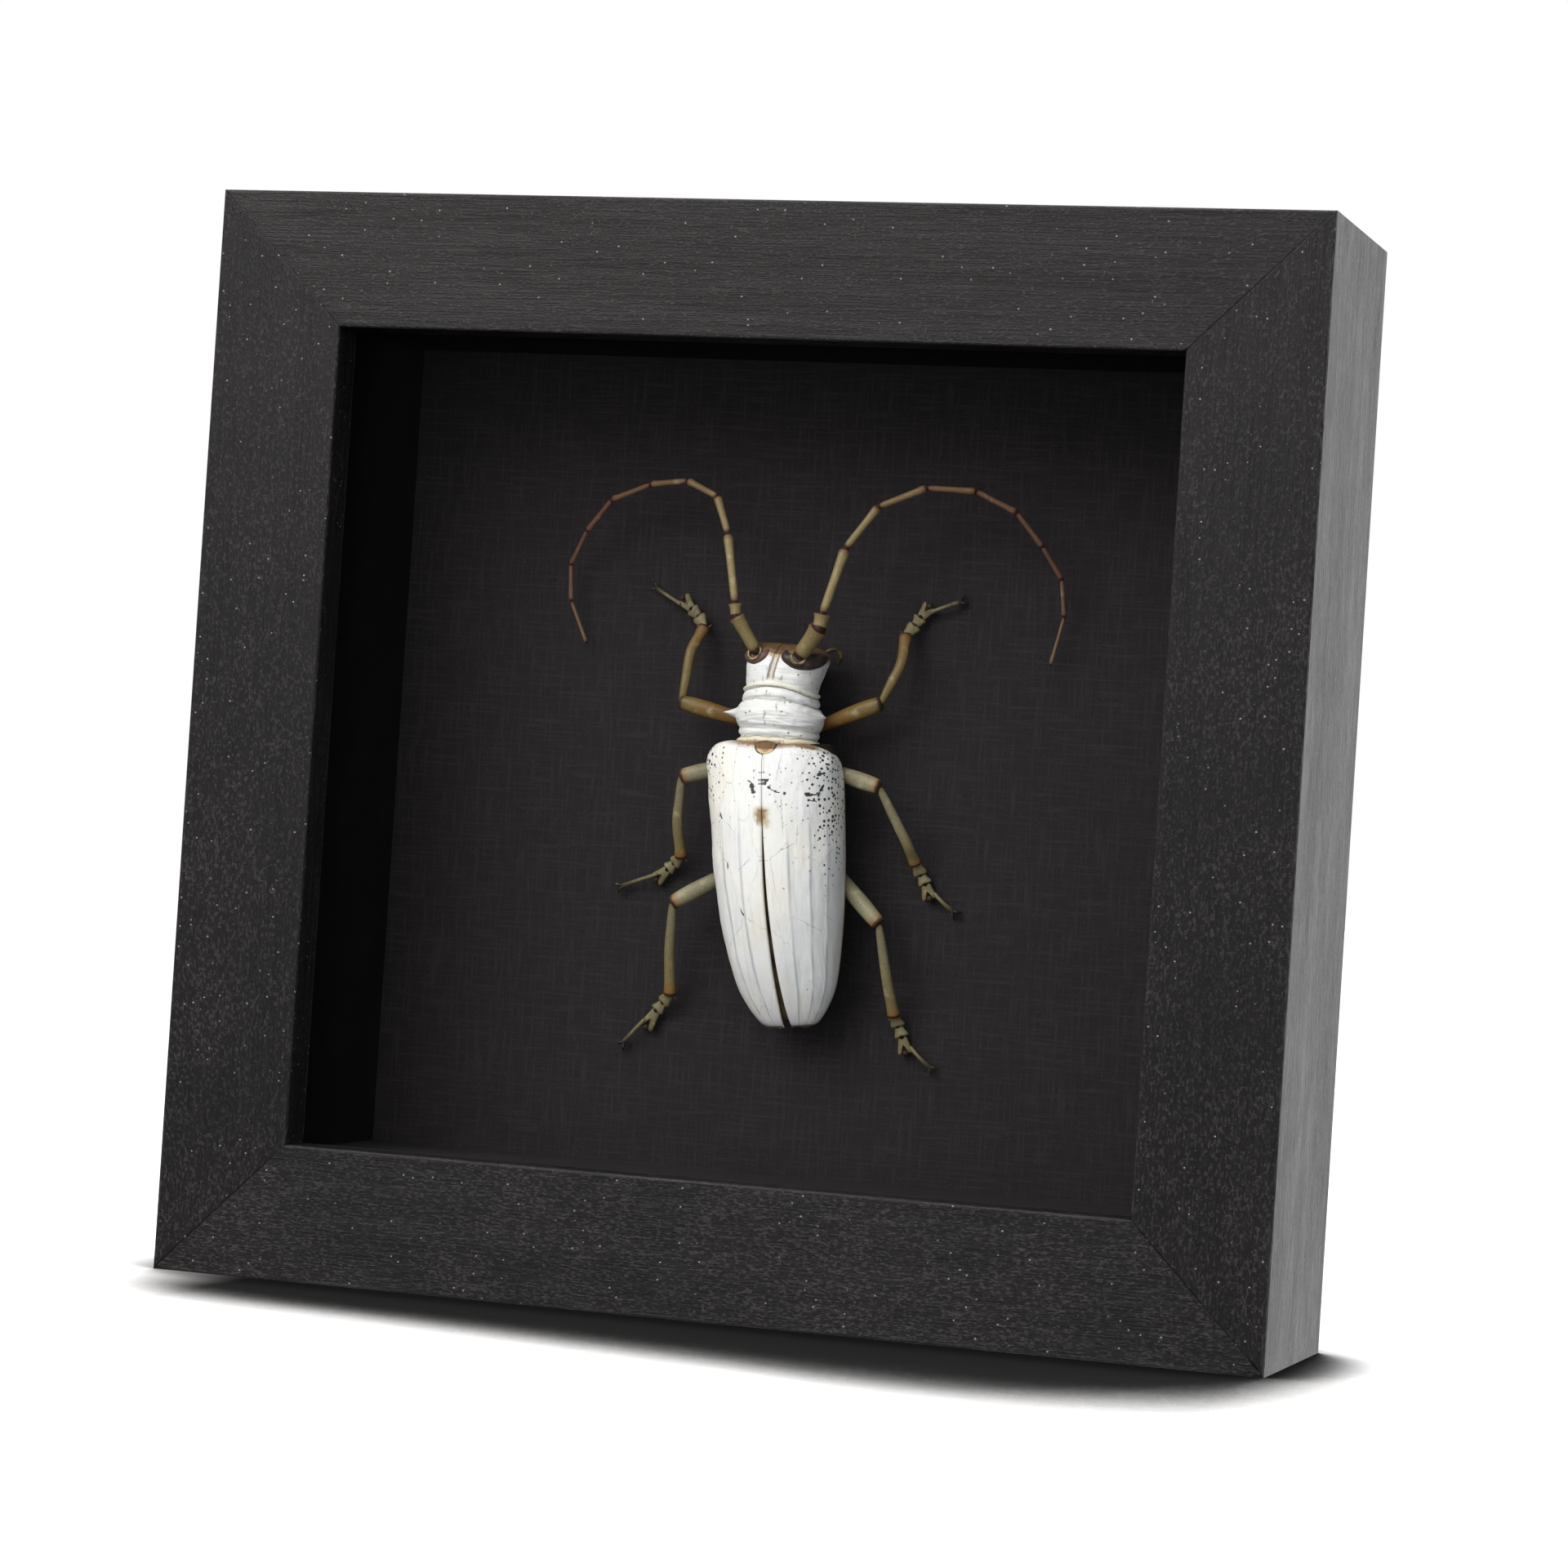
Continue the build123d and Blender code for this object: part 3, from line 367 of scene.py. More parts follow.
def chalkyWing(name):
    # wing case under a white, waxy bloom: chalky with a soft sheen, black pits where the bloom
    # is missing, grey-blue veins
    material, tree, place = newMaterial(name)
    lie = addNode(tree, "ShaderNodeAttribute", attribute_name="lie").outputs["Vector"]  # mm across and down
    pitting, share, rim = [
        addNode(tree, "ShaderNodeAttribute", attribute_name=n).outputs["Fac"] for n in ("pitting", "share", "rim")
    ]
    fields = []
    for across, down, detail in ((4.5, 9, 4), (0.45, 7, 3), (0.35, 0.35, 3), (0.9, 2.4, 3), (11, 14, 2)):
        scaled = addNode(tree, "ShaderNodeMapping", {"Vector": lie, "Scale": (1 / across, 1 / down, 1)})
        fields.append(addNode(tree, "ShaderNodeTexNoise", {"Vector": scaled, "Scale": 1.0, "Detail": detail}))
    cloud, streak, powder, wrinkle, tint = fields
    sway = addNode(tree, "ShaderNodeTexNoise", {"Vector": lie, "Scale": 1.9, "Detail": 3.0}).outputs["Color"]
    drift = addNode(tree, "ShaderNodeVectorMath", {0: sway, 1: (0.5, 0.5, 0.5)}, operation="SUBTRACT")
    ragged = addNode(tree, "ShaderNodeVectorMath", {0: drift, 1: (0.7, 0.7, 0), 2: lie}, operation="MULTIPLY_ADD")
    axes = addNode(tree, "ShaderNodeSeparateXYZ", {0: lie})
    onRight = addNode(tree, "ShaderNodeMath", {0: axes.outputs["X"], 1: 0.0}, operation="GREATER_THAN")
    veinMask = None
    waver = addNode(tree, "ShaderNodeMath", {0: cloud, 1: 0.02, 2: -0.01}, operation="MULTIPLY_ADD")
    wavedShare = addNode(tree, "ShaderNodeMath", {0: share, 1: waver}, operation="ADD")
    for sideName in ("left", "right"):
        onSide = onRight if sideName == "right" else addNode(
            tree, "ShaderNodeMath", {0: 1.0, 1: onRight}, operation="SUBTRACT",
        )
        for vein in veins[sideName]:
            away = addNode(tree, "ShaderNodeMath", {0: wavedShare, 1: vein}, operation="SUBTRACT")
            aside = addNode(tree, "ShaderNodeMath", {0: away}, operation="ABSOLUTE")
            line = addNode(tree, "ShaderNodeMapRange", {
                "Value": aside, "From Min": veins["width"], "From Max": 0.0, "To Min": 0.0, "To Max": onSide,
            })
            veinMask = addNode(
                tree, "ShaderNodeMath", {0: veinMask, 1: line}, operation="MAXIMUM",
            ) if veinMask else line
    rearward = addNode(tree, "ShaderNodeMapRange", {"Value": axes.outputs["Y"], "From Min": 7.0, "From Max": 16.0})
    broken = addNode(tree, "ShaderNodeMapRange", {
        "Value": streak, "From Min": 0.3, "From Max": 0.6, "To Min": 0.35, "To Max": 1.0,
    })
    veinFade = addNode(tree, "ShaderNodeMath", {0: rearward, 1: broken}, operation="MULTIPLY")
    veinMask = addNode(tree, "ShaderNodeMath", {0: veinMask, 1: veinFade}, operation="MULTIPLY")
    cells = addNode(tree, "ShaderNodeTexVoronoi", {
        "Vector": lie, "Scale": 1 / puncture["cell"], "Randomness": 0.92,
    }, voronoi_dimensions="2D")
    chance = addNode(tree, "ShaderNodeSeparateColor", {0: cells.outputs["Color"]}).outputs
    radius = addNode(tree, "ShaderNodeMapRange", {
        "Value": chance["Green"],
        "To Min": puncture["smallest"] / puncture["cell"], "To Max": puncture["largest"] / puncture["cell"],
    })
    crowding = addNode(tree, "ShaderNodeMath", {  # larger where crowded
        0: pitting, 1: 0.6, 2: 0.75,
    }, operation="MULTIPLY_ADD")
    grown = addNode(tree, "ShaderNodeMath", {0: radius, 1: crowding}, operation="MULTIPLY")
    near = addNode(tree, "ShaderNodeMath", {0: grown, 1: cells.outputs["Distance"]}, operation="SUBTRACT")
    chosen = addNode(tree, "ShaderNodeMath", {0: pitting, 1: chance["Red"]}, operation="GREATER_THAN")
    pit = addNode(tree, "ShaderNodeMapRange", {
        "Value": near, "From Min": -0.05, "From Max": 0.06, "To Min": 0.0, "To Max": chosen,
    })
    plates = addNode(tree, "ShaderNodeMapping", {"Vector": ragged, "Scale": (1 / 3.4, 1 / 9, 1)})
    edges = addNode(tree, "ShaderNodeTexVoronoi", {
        "Vector": plates, "Scale": 1.0,
    }, voronoi_dimensions="2D", feature="DISTANCE_TO_EDGE")
    crazing = addNode(tree, "ShaderNodeMapRange", {
        "Value": edges, "From Min": 0.016, "From Max": 0.004, "To Min": 0.0, "To Max": cloud,
    })
    marks = spots(tree, ragged, wornMarks, 0.25)
    cracks = spots(tree, ragged, hairCracks, 0.5)
    colour = coats(tree, linear("#f0f2f1"), [
        (tint, 0.42, 0.62, 0.75, "#f8f4e6"),
        (cloud, 0.4, 0.7, 0.55, "#f9faf7"),
        # painted shade: the whole right wing case is tinted cooler and darker, away from the lamps on the left
        (onRight, 0.0, 1.0, 0.14, "#ccd7dd"),
        (streak, 0.5, 0.72, 0.3, "#c9d2d6"),
        (powder, 0.56, 0.75, 0.25, "#c6c6ba"),
        (veinMask, 0.0, 1.0, 0.6, "#8b98a1"),
        (crazing, 0.2, 0.6, 0.35, "#7c7a72"),
        (rim, 0.0, 1.0, 0.7, "#cdb98c"),
        (spots(tree, ragged, sutureStain, 0.8), 0.0, 1.0, 0.7, "#b09c70"),
        (spots(tree, ragged, sutureCore, 0.6), 0.0, 1.0, 0.75, "#8a6838"),
        (spots(tree, ragged, baseStain, 0.6), 0.0, 1.0, 0.92, "#80561f"),
        (pit, 0.2, 0.8, 0.45, "#6b747a"),
        (cracks, 0.0, 1.0, 0.55, "#5c564c"),
        (addNode(tree, "ShaderNodeMath", {0: pit, 1: pitting}, operation="MULTIPLY"), 0.06, 0.4, 0.92, "#15110f"),
        (marks, 0.2, 0.8, 0.95, "#15110f"),
    ])
    hollow = addNode(tree, "ShaderNodeMath", {0: pit, 1: marks}, operation="MAXIMUM")
    skin = addNode(tree, "ShaderNodeMath", {0: powder, 1: 0.3, 2: wrinkle}, operation="MULTIPLY_ADD")
    relief = addNode(tree, "ShaderNodeMath", {0: skin, 1: hollow}, operation="SUBTRACT")
    rough = addNode(tree, "ShaderNodeMapRange", {
        "Value": powder, "From Min": 0.3, "From Max": 0.7, "To Min": 0.45, "To Max": 0.62,
    })
    finishMaterial(tree, colour, relief, 0.6, 0.13, Roughness=rough, IOR=1.5)
    return material


def chalkyBody(name, bands, grooves):
    # the same bloom on the wrinkled cuticle of head and prothorax: cream on its ridges, brown where it has rubbed off,
    # and painted shade in its grooves
    material, tree, place = newMaterial(name)
    # mm across, mm along the body, and 1 on top
    lie = addNode(tree, "ShaderNodeAttribute", attribute_name="lie").outputs["Vector"]
    axes = addNode(tree, "ShaderNodeSeparateXYZ", {0: lie})
    fields = []
    for size, detail in (((3, 3, 2), 4), ((5, 5, 0.5), 4), ((0.3, 0.3, 0.3), 3), ((0.7, 0.7, 2.2), 3)):
        scaled = addNode(tree, "ShaderNodeMapping", {"Vector": place, "Scale": per(*size)})
        fields.append(addNode(tree, "ShaderNodeTexNoise", {
            "Vector": scaled, "Scale": 1.0, "Detail": detail, "Roughness": 0.6,
        }))
    cloud, folds, powder, creases = fields
    waver = addNode(tree, "ShaderNodeMath", {0: cloud, 1: 0.9, 2: -0.45}, operation="MULTIPLY_ADD")
    row = addNode(tree, "ShaderNodeMath", {0: axes.outputs["Y"], 1: waver}, operation="ADD")
    bloom = [
        (cloud, 0.4, 0.7, 0.7, "#f6f5ef"), (folds, 0.54, 0.72, 0.4, "#b2babd"),
        (powder, 0.58, 0.75, 0.28, "#c3c2b6"), (creases, 0.6, 0.72, 0.35, "#9b9990"),
    ]
    specks = addNode(tree, "ShaderNodeTexVoronoi", {"Vector": place, "Scale": 1 / (0.8 * mm)})
    pick = addNode(tree, "ShaderNodeSeparateColor", {0: specks.outputs["Color"]})
    rare = addNode(tree, "ShaderNodeMath", {0: pick, 1: 0.84}, operation="GREATER_THAN")
    speck = addNode(tree, "ShaderNodeMapRange", {
        "Value": specks.outputs["Distance"], "From Min": 0.22, "From Max": 0.1, "To Min": 0.0, "To Max": rare,
    })
    bloom.append((speck, 0.2, 0.8, 0.7, "#2d3138"))
    hollow = speck
    for groove in grooves:  # x at its front and rear ends, where those ends are, and its width
        slope = (groove["front"][0] - groove["rear"][0]) / (groove["front"][1] - groove["rear"][1])
        line = addNode(tree, "ShaderNodeMath", {
            0: axes.outputs["Y"], 1: slope, 2: groove["rear"][0] - slope * groove["rear"][1],
        }, operation="MULTIPLY_ADD")
        away = addNode(tree, "ShaderNodeMath", {0: axes.outputs["X"], 1: line}, operation="SUBTRACT")
        swayed = addNode(tree, "ShaderNodeMath", {0: waver, 1: 0.4, 2: away}, operation="MULTIPLY_ADD")
        aside = addNode(tree, "ShaderNodeMath", {0: swayed}, operation="ABSOLUTE")
        inFront = addNode(tree, "ShaderNodeMapRange", {
            "Value": axes.outputs["Y"], "From Min": groove["rear"][1] - 0.3, "From Max": groove["rear"][1] + 0.3,
        })
        onTop = addNode(tree, "ShaderNodeMath", {0: inFront, 1: axes.outputs["Z"]}, operation="MULTIPLY")
        cut = addNode(tree, "ShaderNodeMapRange", {
            "Value": aside, "From Min": groove["width"], "From Max": groove["width"] * 0.3,
            "To Min": 0.0, "To Max": onTop,
        })
        bloom.append((cut, 0.1, 0.9, groove["amount"], groove["code"]))
        hollow = addNode(tree, "ShaderNodeMath", {0: hollow, 1: cut}, operation="MAXIMUM")
    for low, high, soft, amount, code in bands:
        rise = addNode(tree, "ShaderNodeMapRange", {"Value": row, "From Min": low - soft, "From Max": low + soft})
        band = addNode(tree, "ShaderNodeMapRange", {
            "Value": row, "From Min": high + soft, "From Max": high - soft, "To Min": 0.0, "To Max": rise,
        })
        bloom.append((band, 0.1, 0.9, amount, code))
    bloom.append((creases, 0.62, 0.7, 0.4, "#5e5040"))
    colour = coats(tree, linear("#ecefee"), bloom)
    skin = addNode(tree, "ShaderNodeMath", {0: powder, 1: 0.25, 2: folds}, operation="MULTIPLY_ADD")
    relief = addNode(tree, "ShaderNodeMath", {0: skin, 1: hollow}, operation="SUBTRACT")
    finishMaterial(tree, colour, relief, 0.8, 0.22, Roughness=0.55, IOR=1.5)
    return material


def limbCuticle(name, stops, patchy, rust):
    # waxy cuticle of legs and feelers: blotched, rusty by the joints, with dark seams
    material, tree, place = newMaterial(name)
    along, local = [addNode(tree, "ShaderNodeAttribute", attribute_name=n).outputs["Fac"] for n in ("along", "local")]
    blotch = addNode(tree, "ShaderNodeTexNoise", {"Vector": place, "Scale": 520.0, "Detail": 4.0})  # 1.9 mm
    fibre = addNode(tree, "ShaderNodeTexNoise", {"Vector": place, "Scale": 3000.0, "Detail": 3.0})  # 0.33 mm
    waver = addNode(tree, "ShaderNodeMath", {0: blotch, 1: patchy, 2: -0.5 * patchy}, operation="MULTIPLY_ADD")
    drift = addNode(tree, "ShaderNodeMath", {0: along, 1: waver}, operation="ADD")
    base = addNode(tree, "ShaderNodeValToRGB", {"Fac": drift}, stops=stops)
    fromMiddle = addNode(tree, "ShaderNodeMath", {0: local, 1: 0.5}, operation="SUBTRACT")
    ends = addNode(tree, "ShaderNodeMath", {0: fromMiddle}, operation="ABSOLUTE")
    raggedEnds = addNode(tree, "ShaderNodeMath", {0: waver, 1: 0.3, 2: ends}, operation="MULTIPLY_ADD")
    colour = coats(tree, base, [
        (fibre, 0.5, 0.72, 0.35, "#3d3426"), (blotch, 0.56, 0.72, 0.3, "#c2bb9e"),
        (raggedEnds, 0.36, 0.46, 0.6, rust), (ends, 0.455, 0.485, 0.85, "#1f120d"),
    ])
    finishMaterial(tree, colour, fibre, 0.45, 0.08, Roughness=0.5, IOR=1.5)
    return material


def facetedEye(name, facet):
    # compound eye: dried brown lens facets with a soft gloss, the left eye painted paler as painted light from the
    # lamps on its side
    # the facets are drawn about three times too large, so that they show
    material, tree, place = newMaterial(name)
    cells = addNode(tree, "ShaderNodeTexVoronoi", {"Vector": place, "Scale": 1 / (facet * mm)})
    haze = addNode(tree, "ShaderNodeTexNoise", {"Vector": place, "Scale": 800.0, "Detail": 3.0})  # 1.2 mm
    side = addNode(tree, "ShaderNodeSeparateXYZ", {0: place}).outputs["X"]
    # painted light: the eye left of the middle is painted paler
    colour = coats(tree, linear("#3a302d"), [
        (haze, 0.35, 0.7, 0.8, "#5b4e49"), (side, 0.001, -0.001, 0.75, "#7b5d54"), (cells, 0.35, 0.65, 0.4, "#1a1413"),
    ])
    finishMaterial(tree, colour, cells, -0.5, 0.04, Roughness=0.5, IOR=1.54)
    return material


def downyUnderside(name, plateCode):  # belly and hind thorax: tan down over brown plates, with a seam at each ring
    material, tree, place = newMaterial(name)
    fields = []
    for size in ((0.25, 0.25, 0.9), (4, 4, 3)):
        scaled = addNode(tree, "ShaderNodeMapping", {"Vector": place, "Scale": per(*size)})
        fields.append(addNode(tree, "ShaderNodeTexNoise", {"Vector": scaled, "Scale": 1.0, "Detail": 4.0}))
    down, cloud = fields
    plate = addNode(tree, "ShaderNodeMapping", {"Vector": place, "Scale": per(500, 500, 16)})
    rings = addNode(tree, "ShaderNodeTexWave", {"Vector": plate, "Scale": 1.0}, bands_direction="Z", wave_profile="SAW")
    seam = addNode(tree, "ShaderNodeMapRange", {"Value": rings, "From Min": 0.9, "From Max": 0.98})
    colour = coats(tree, linear("#1d150d"), [
        (cloud, 0.4, 0.75, 0.8, plateCode), (down, 0.55, 0.75, 0.35, "#8d7c5c"), (seam, 0.0, 1.0, 0.6, "#1c140d"),
    ])
    relief = addNode(tree, "ShaderNodeMath", {0: down, 1: seam}, operation="SUBTRACT")
    finishMaterial(tree, colour, relief, 0.5, 0.2, Roughness=0.7, IOR=1.45)
    return material


def bareScutellum(name):  # bare tan plate with remains of bloom, brown towards the neck and along its outer edge
    material, tree, place = newMaterial(name)
    reach, down = [addNode(tree, "ShaderNodeAttribute", attribute_name=n).outputs["Fac"] for n in ("reach", "down")]
    mottle = addNode(tree, "ShaderNodeTexNoise", {"Vector": place, "Scale": 1100.0, "Detail": 4.0})  # 0.9 mm
    grit = addNode(tree, "ShaderNodeTexNoise", {"Vector": place, "Scale": 4000.0, "Detail": 2.0})  # 0.25 mm
    colour = coats(tree, linear("#9c7a48"), [
        (mottle, 0.38, 0.62, 0.8, "#c9b384"), (grit, 0.55, 0.7, 0.4, "#dccfa6"),
        (reach, 0.6, 0.8, 0.6, "#e0d2a8"), (reach, 0.9, 0.97, 0.6, "#7a5c34"), (down, 0.52, 0.34, 0.92, "#6a421c"),
    ])
    finishMaterial(tree, colour, mottle, 0.5, 0.1, Roughness=0.55, IOR=1.5)
    return material


wingFinish = chalkyWing("chalkWhiteWingCase")
prothoraxFinish = chalkyBody("chalkWhiteProthorax", [  # from and to, softness, strength and colour along the body
    # the grey bands at 10.8 to 11.0, 9.2 to 9.5, 4.95 to 5.25 and 3.8 to 4.05 are painted shade in the grooves between
    # its swellings
    (11.1, 11.9, 0.08, 0.8, "#ece6cf"), (10.8, 11.0, 0.08, 0.75, "#877f68"), (9.2, 9.5, 0.15, 0.6, "#858a8a"),
    (4.95, 5.25, 0.15, 0.45, "#8f8f88"), (3.8, 4.05, 0.12, 0.7, "#7f785e"), (3.1, 3.8, 0.12, 0.75, "#e6dbb4"),
    (1.9, 3.05, 0.1, 0.97, "#8a5220"),
], [])
headFinish = chalkyBody("chalkWhiteHead", [
    (15.5, 20.0, 0.3, 0.94, "#6f532b"), (15.1, 15.6, 0.2, 0.6, "#c4a878"), (16.2, 20.0, 0.3, 0.6, "#573a16"),
], [
    {"front": (0.0, 15.9), "rear": (-0.75, 12.0), "width": 0.42, "amount": 0.5, "code": "#c8b48a"},
    # the two dark groove lines are painted shade in the dents that headRelief cuts
    {"front": (-0.35, 15.9), "rear": (-1.15, 12.0), "width": 0.22, "amount": 0.7, "code": "#5a5042"},
    {"front": (0.4, 15.9), "rear": (-0.35, 12.0), "width": 0.2, "amount": 0.7, "code": "#5a5042"},
])
feelerFinish = limbCuticle("oliveToRussetFeeler", [
    (0.0, "#796a48"), (0.02, "#83744e"), (0.25, "#8b7d54"), (0.5, "#72553a"), (0.75, "#5f4033"), (1.0, "#75604a"),
], 0.15, "#5c3026")
frontThighFinish = limbCuticle("amberFrontThigh", [
    (0.0, "#5c3e10"), (0.45, "#745827"), (0.8, "#6f6137"), (1.0, "#786b42"),
], 0.4, "#5c3d18")
thighFinish = limbCuticle("greyOliveThigh", [
    (0.0, "#5d573e"), (0.4, "#7e7a60"), (0.85, "#8f896a"), (1.0, "#94763f"),
], 0.35, "#84562a")
frontShinFinish = limbCuticle("brownOliveFrontShin", [
    (0.0, "#5f5028"), (0.4, "#6d6038"), (0.85, "#765a30"), (1.0, "#6e4a24"),
], 0.4, "#5f3c1c")
shinFinish = limbCuticle("oliveShin", [
    (0.0, "#736e52"), (0.35, "#79745a"), (0.75, "#80754e"), (0.93, "#86642f"), (1.0, "#704e28"),
], 0.38, "#7c5228")
footFinish = limbCuticle("creamOliveFoot", [
    (0.0, "#746c4c"), (0.5, "#6b6344"), (0.72, "#4c4632"), (0.9, "#2a251c"), (1.0, "#15110e"),
], 0.35, "#5c4024")
jointFinish = softSolid(  # soft membrane dried dark in the joints
    "darkJointMembrane", "#21140c", [(0.4, 0.4, 0.7, 0.7, "#3f2814"), (0.15, 0.55, 0.7, 0.4, "#56391e")], 0, 0.4, 0.6)
jawFinish = softSolid(  # thick polished cuticle
    "brownJawCuticle", "#1c0f08",
    [(0.9, 0.35, 0.68, 0.9, "#52300f"), (0.2, 0.55, 0.7, 0.4, "#7a4c20")], 0, 0.4, 0.3, 1.54)
palpFinish = softSolid(  # thin tan cuticle, slightly glossy
    "tanPalpCuticle", "#241a0c",
    [(0.7, 0.35, 0.68, 0.9, "#4f3f24"), (0.2, 0.55, 0.7, 0.4, "#6e5a38")], 0, 0.4, 0.4, 1.54)
socketFinish = softSolid(  # smooth cream lip of cuticle
    "creamSocketLip", "#574426", [(0.6, 0.4, 0.65, 0.9, "#a8946c"), (0.2, 0.55, 0.7, 0.4, "#c4b48e")], 0, 0.4, 0.5)
eyeFinish = facetedEye("facetedBrownEye", 0.09)
scutellumFinish = bareScutellum("tanScutellum")
dress(["beetle_abdomen"], downyUnderside("tanDownOverBrownPlates", "#665233"))
dress(["beetle_hind_thorax"], downyUnderside("thinDownOverDarkPlates", "#261c11"))
print("beetle finishes made")

# Shapes of the beetle are in millimetres: x to the right and z up from the middle of the board, height off its paper


def onBoard(x, z, height):
    return Vector((x, faceOfBoard - height, caseMiddle + z))


def smoothValue(stations, at):  # a smooth curve through rows of (position, value, value, ...)
    last = len(stations) - 1
    i = max(0, min(last - 1, next((k for k in range(last) if at < stations[k + 1][0]), last - 1)))
    (p0, *v0), (p1, *v1) = stations[i], stations[i + 1]
    before, after = stations[max(0, i - 1)], stations[min(last, i + 2)]
    t = max(0.0, min(1.0, (at - p0) / (p1 - p0)))
    result = []
    for k, (a, b) in enumerate(zip(v0, v1), 1):
        slopeA = (b - before[k]) / max(1e-6, p1 - before[0]) * (p1 - p0)
        slopeB = (after[k] - a) / max(1e-6, after[0] - p0) * (p1 - p0)
        result.append(
            (2 * t**3 - 3 * t**2 + 1) * a + (t**3 - 2 * t**2 + t) * slopeA
            + (3 * t**2 - 2 * t**3) * b + (t**3 - t**2) * slopeB
        )
    return result


def bell(value, centre, width):
    return math.exp(-(((value - centre) / width) ** 2))


def makePiece(name, shape):  # a closed mesh from points, faces and point attributes
    mesh = bpy.data.meshes.new(name)
    mesh.from_pydata([p * mm for p in shape["points"]], [], shape["faces"])
    for key, values in shape.items():
        if key in ("points", "faces"):
            continue
        isVector = isinstance(values[0], Vector)
        layer = mesh.attributes.new(key, "FLOAT_VECTOR" if isVector else "FLOAT", "POINT")
        flat = [c for v in values for c in v] if isVector else values
        layer.data.foreach_set("vector" if isVector else "value", flat)
    work = bmesh.new()
    work.from_mesh(mesh)
    bmesh.ops.recalc_face_normals(work, faces=work.faces)
    work.to_mesh(mesh)
    work.free()
    mesh.shade_smooth()
    piece = bpy.data.objects.new(name, mesh)
    scene.collection.objects.link(piece)
    return piece


def settle(piece, slotName, material, *replaced):  # its finish, its body and the CAD nodes that it stands for
    if material:
        piece.data.materials.append(material)
    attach(piece, "case")
    if replaced:
        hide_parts(*replaced)


def emptyShape():
    return {"points": [], "faces": [], "along": [], "local": []}


def addTube(shape, path, radii, sides=18, flatness=1.0, perStep=6, start=0.0, end=1.0, capLength=0.7, local=(0.5, 0.5)):
    # a limb through some points: smooth between them, with a rounded, closed end at each side
    stations = [(i, *point, radius) for i, (point, radius) in enumerate(zip(path, radii))]
    count = (len(path) - 1) * perStep
    rows = [smoothValue(stations, i / perStep) for i in range(count + 1)]
    centres = [Vector(row[:3]) for row in rows]
    sizes = [row[3] for row in rows]
    headings = [(centres[min(count, i + 1)] - centres[max(0, i - 1)]).normalized() for i in range(count + 1)]
    rings = []
    capRows = 4
    for k in range(1, capRows):
        lean = math.pi / 2 * k / capRows
        rings.append((
            centres[0] - headings[0] * sizes[0] * capLength * math.cos(lean),
            sizes[0] * math.sin(lean), headings[0], 0.0,
        ))
    rings += [(c, s, h, i / count) for i, (c, s, h) in enumerate(zip(centres, sizes, headings))]
    for k in range(capRows - 1, 0, -1):
        lean = math.pi / 2 * k / capRows
        rings.append((
            centres[-1] + headings[-1] * sizes[-1] * capLength * math.cos(lean),
            sizes[-1] * math.sin(lean), headings[-1], 1.0,
        ))
    first = len(shape["points"])
    for centre, size, heading, share in rings:
        across = heading.cross(Vector((0, 1, 0)))
        across = across.normalized() if across.length > 0.05 else Vector((1, 0, 0))
        up = across.cross(heading)
        for k in range(sides):
            turn = 2 * math.pi * k / sides
            shape["points"].append(centre + across * size * math.cos(turn) + up * size * flatness * math.sin(turn))
            shape["along"].append(start + (end - start) * share)
            shape["local"].append(local[0] + (local[1] - local[0]) * share)
    for row in range(len(rings) - 1):
        for k in range(sides):
            a, b = first + row * sides + k, first + row * sides + (k + 1) % sides
            shape["faces"].append((a, b, b + sides, a + sides))
    for row, share, centre, heading, size in (
        (0, 0.0, centres[0], -headings[0], sizes[0]),
        (len(rings) - 1, 1.0, centres[-1], headings[-1], sizes[-1]),
    ):
        pole = len(shape["points"])
        shape["points"].append(centre + heading * size * capLength)
        shape["along"].append(start + (end - start) * share)
        shape["local"].append(local[0] + (local[1] - local[0]) * share)
        for k in range(sides):
            a, b = first + row * sides + k, first + row * sides + (k + 1) % sides
            shape["faces"].append((a, b, pole))
    return shape


def step01(value, low, high):  # the same smooth step as the shaders use
    t = max(0.0, min(1.0, (value - low) / (high - low)))
    return t * t * (3 - 2 * t)


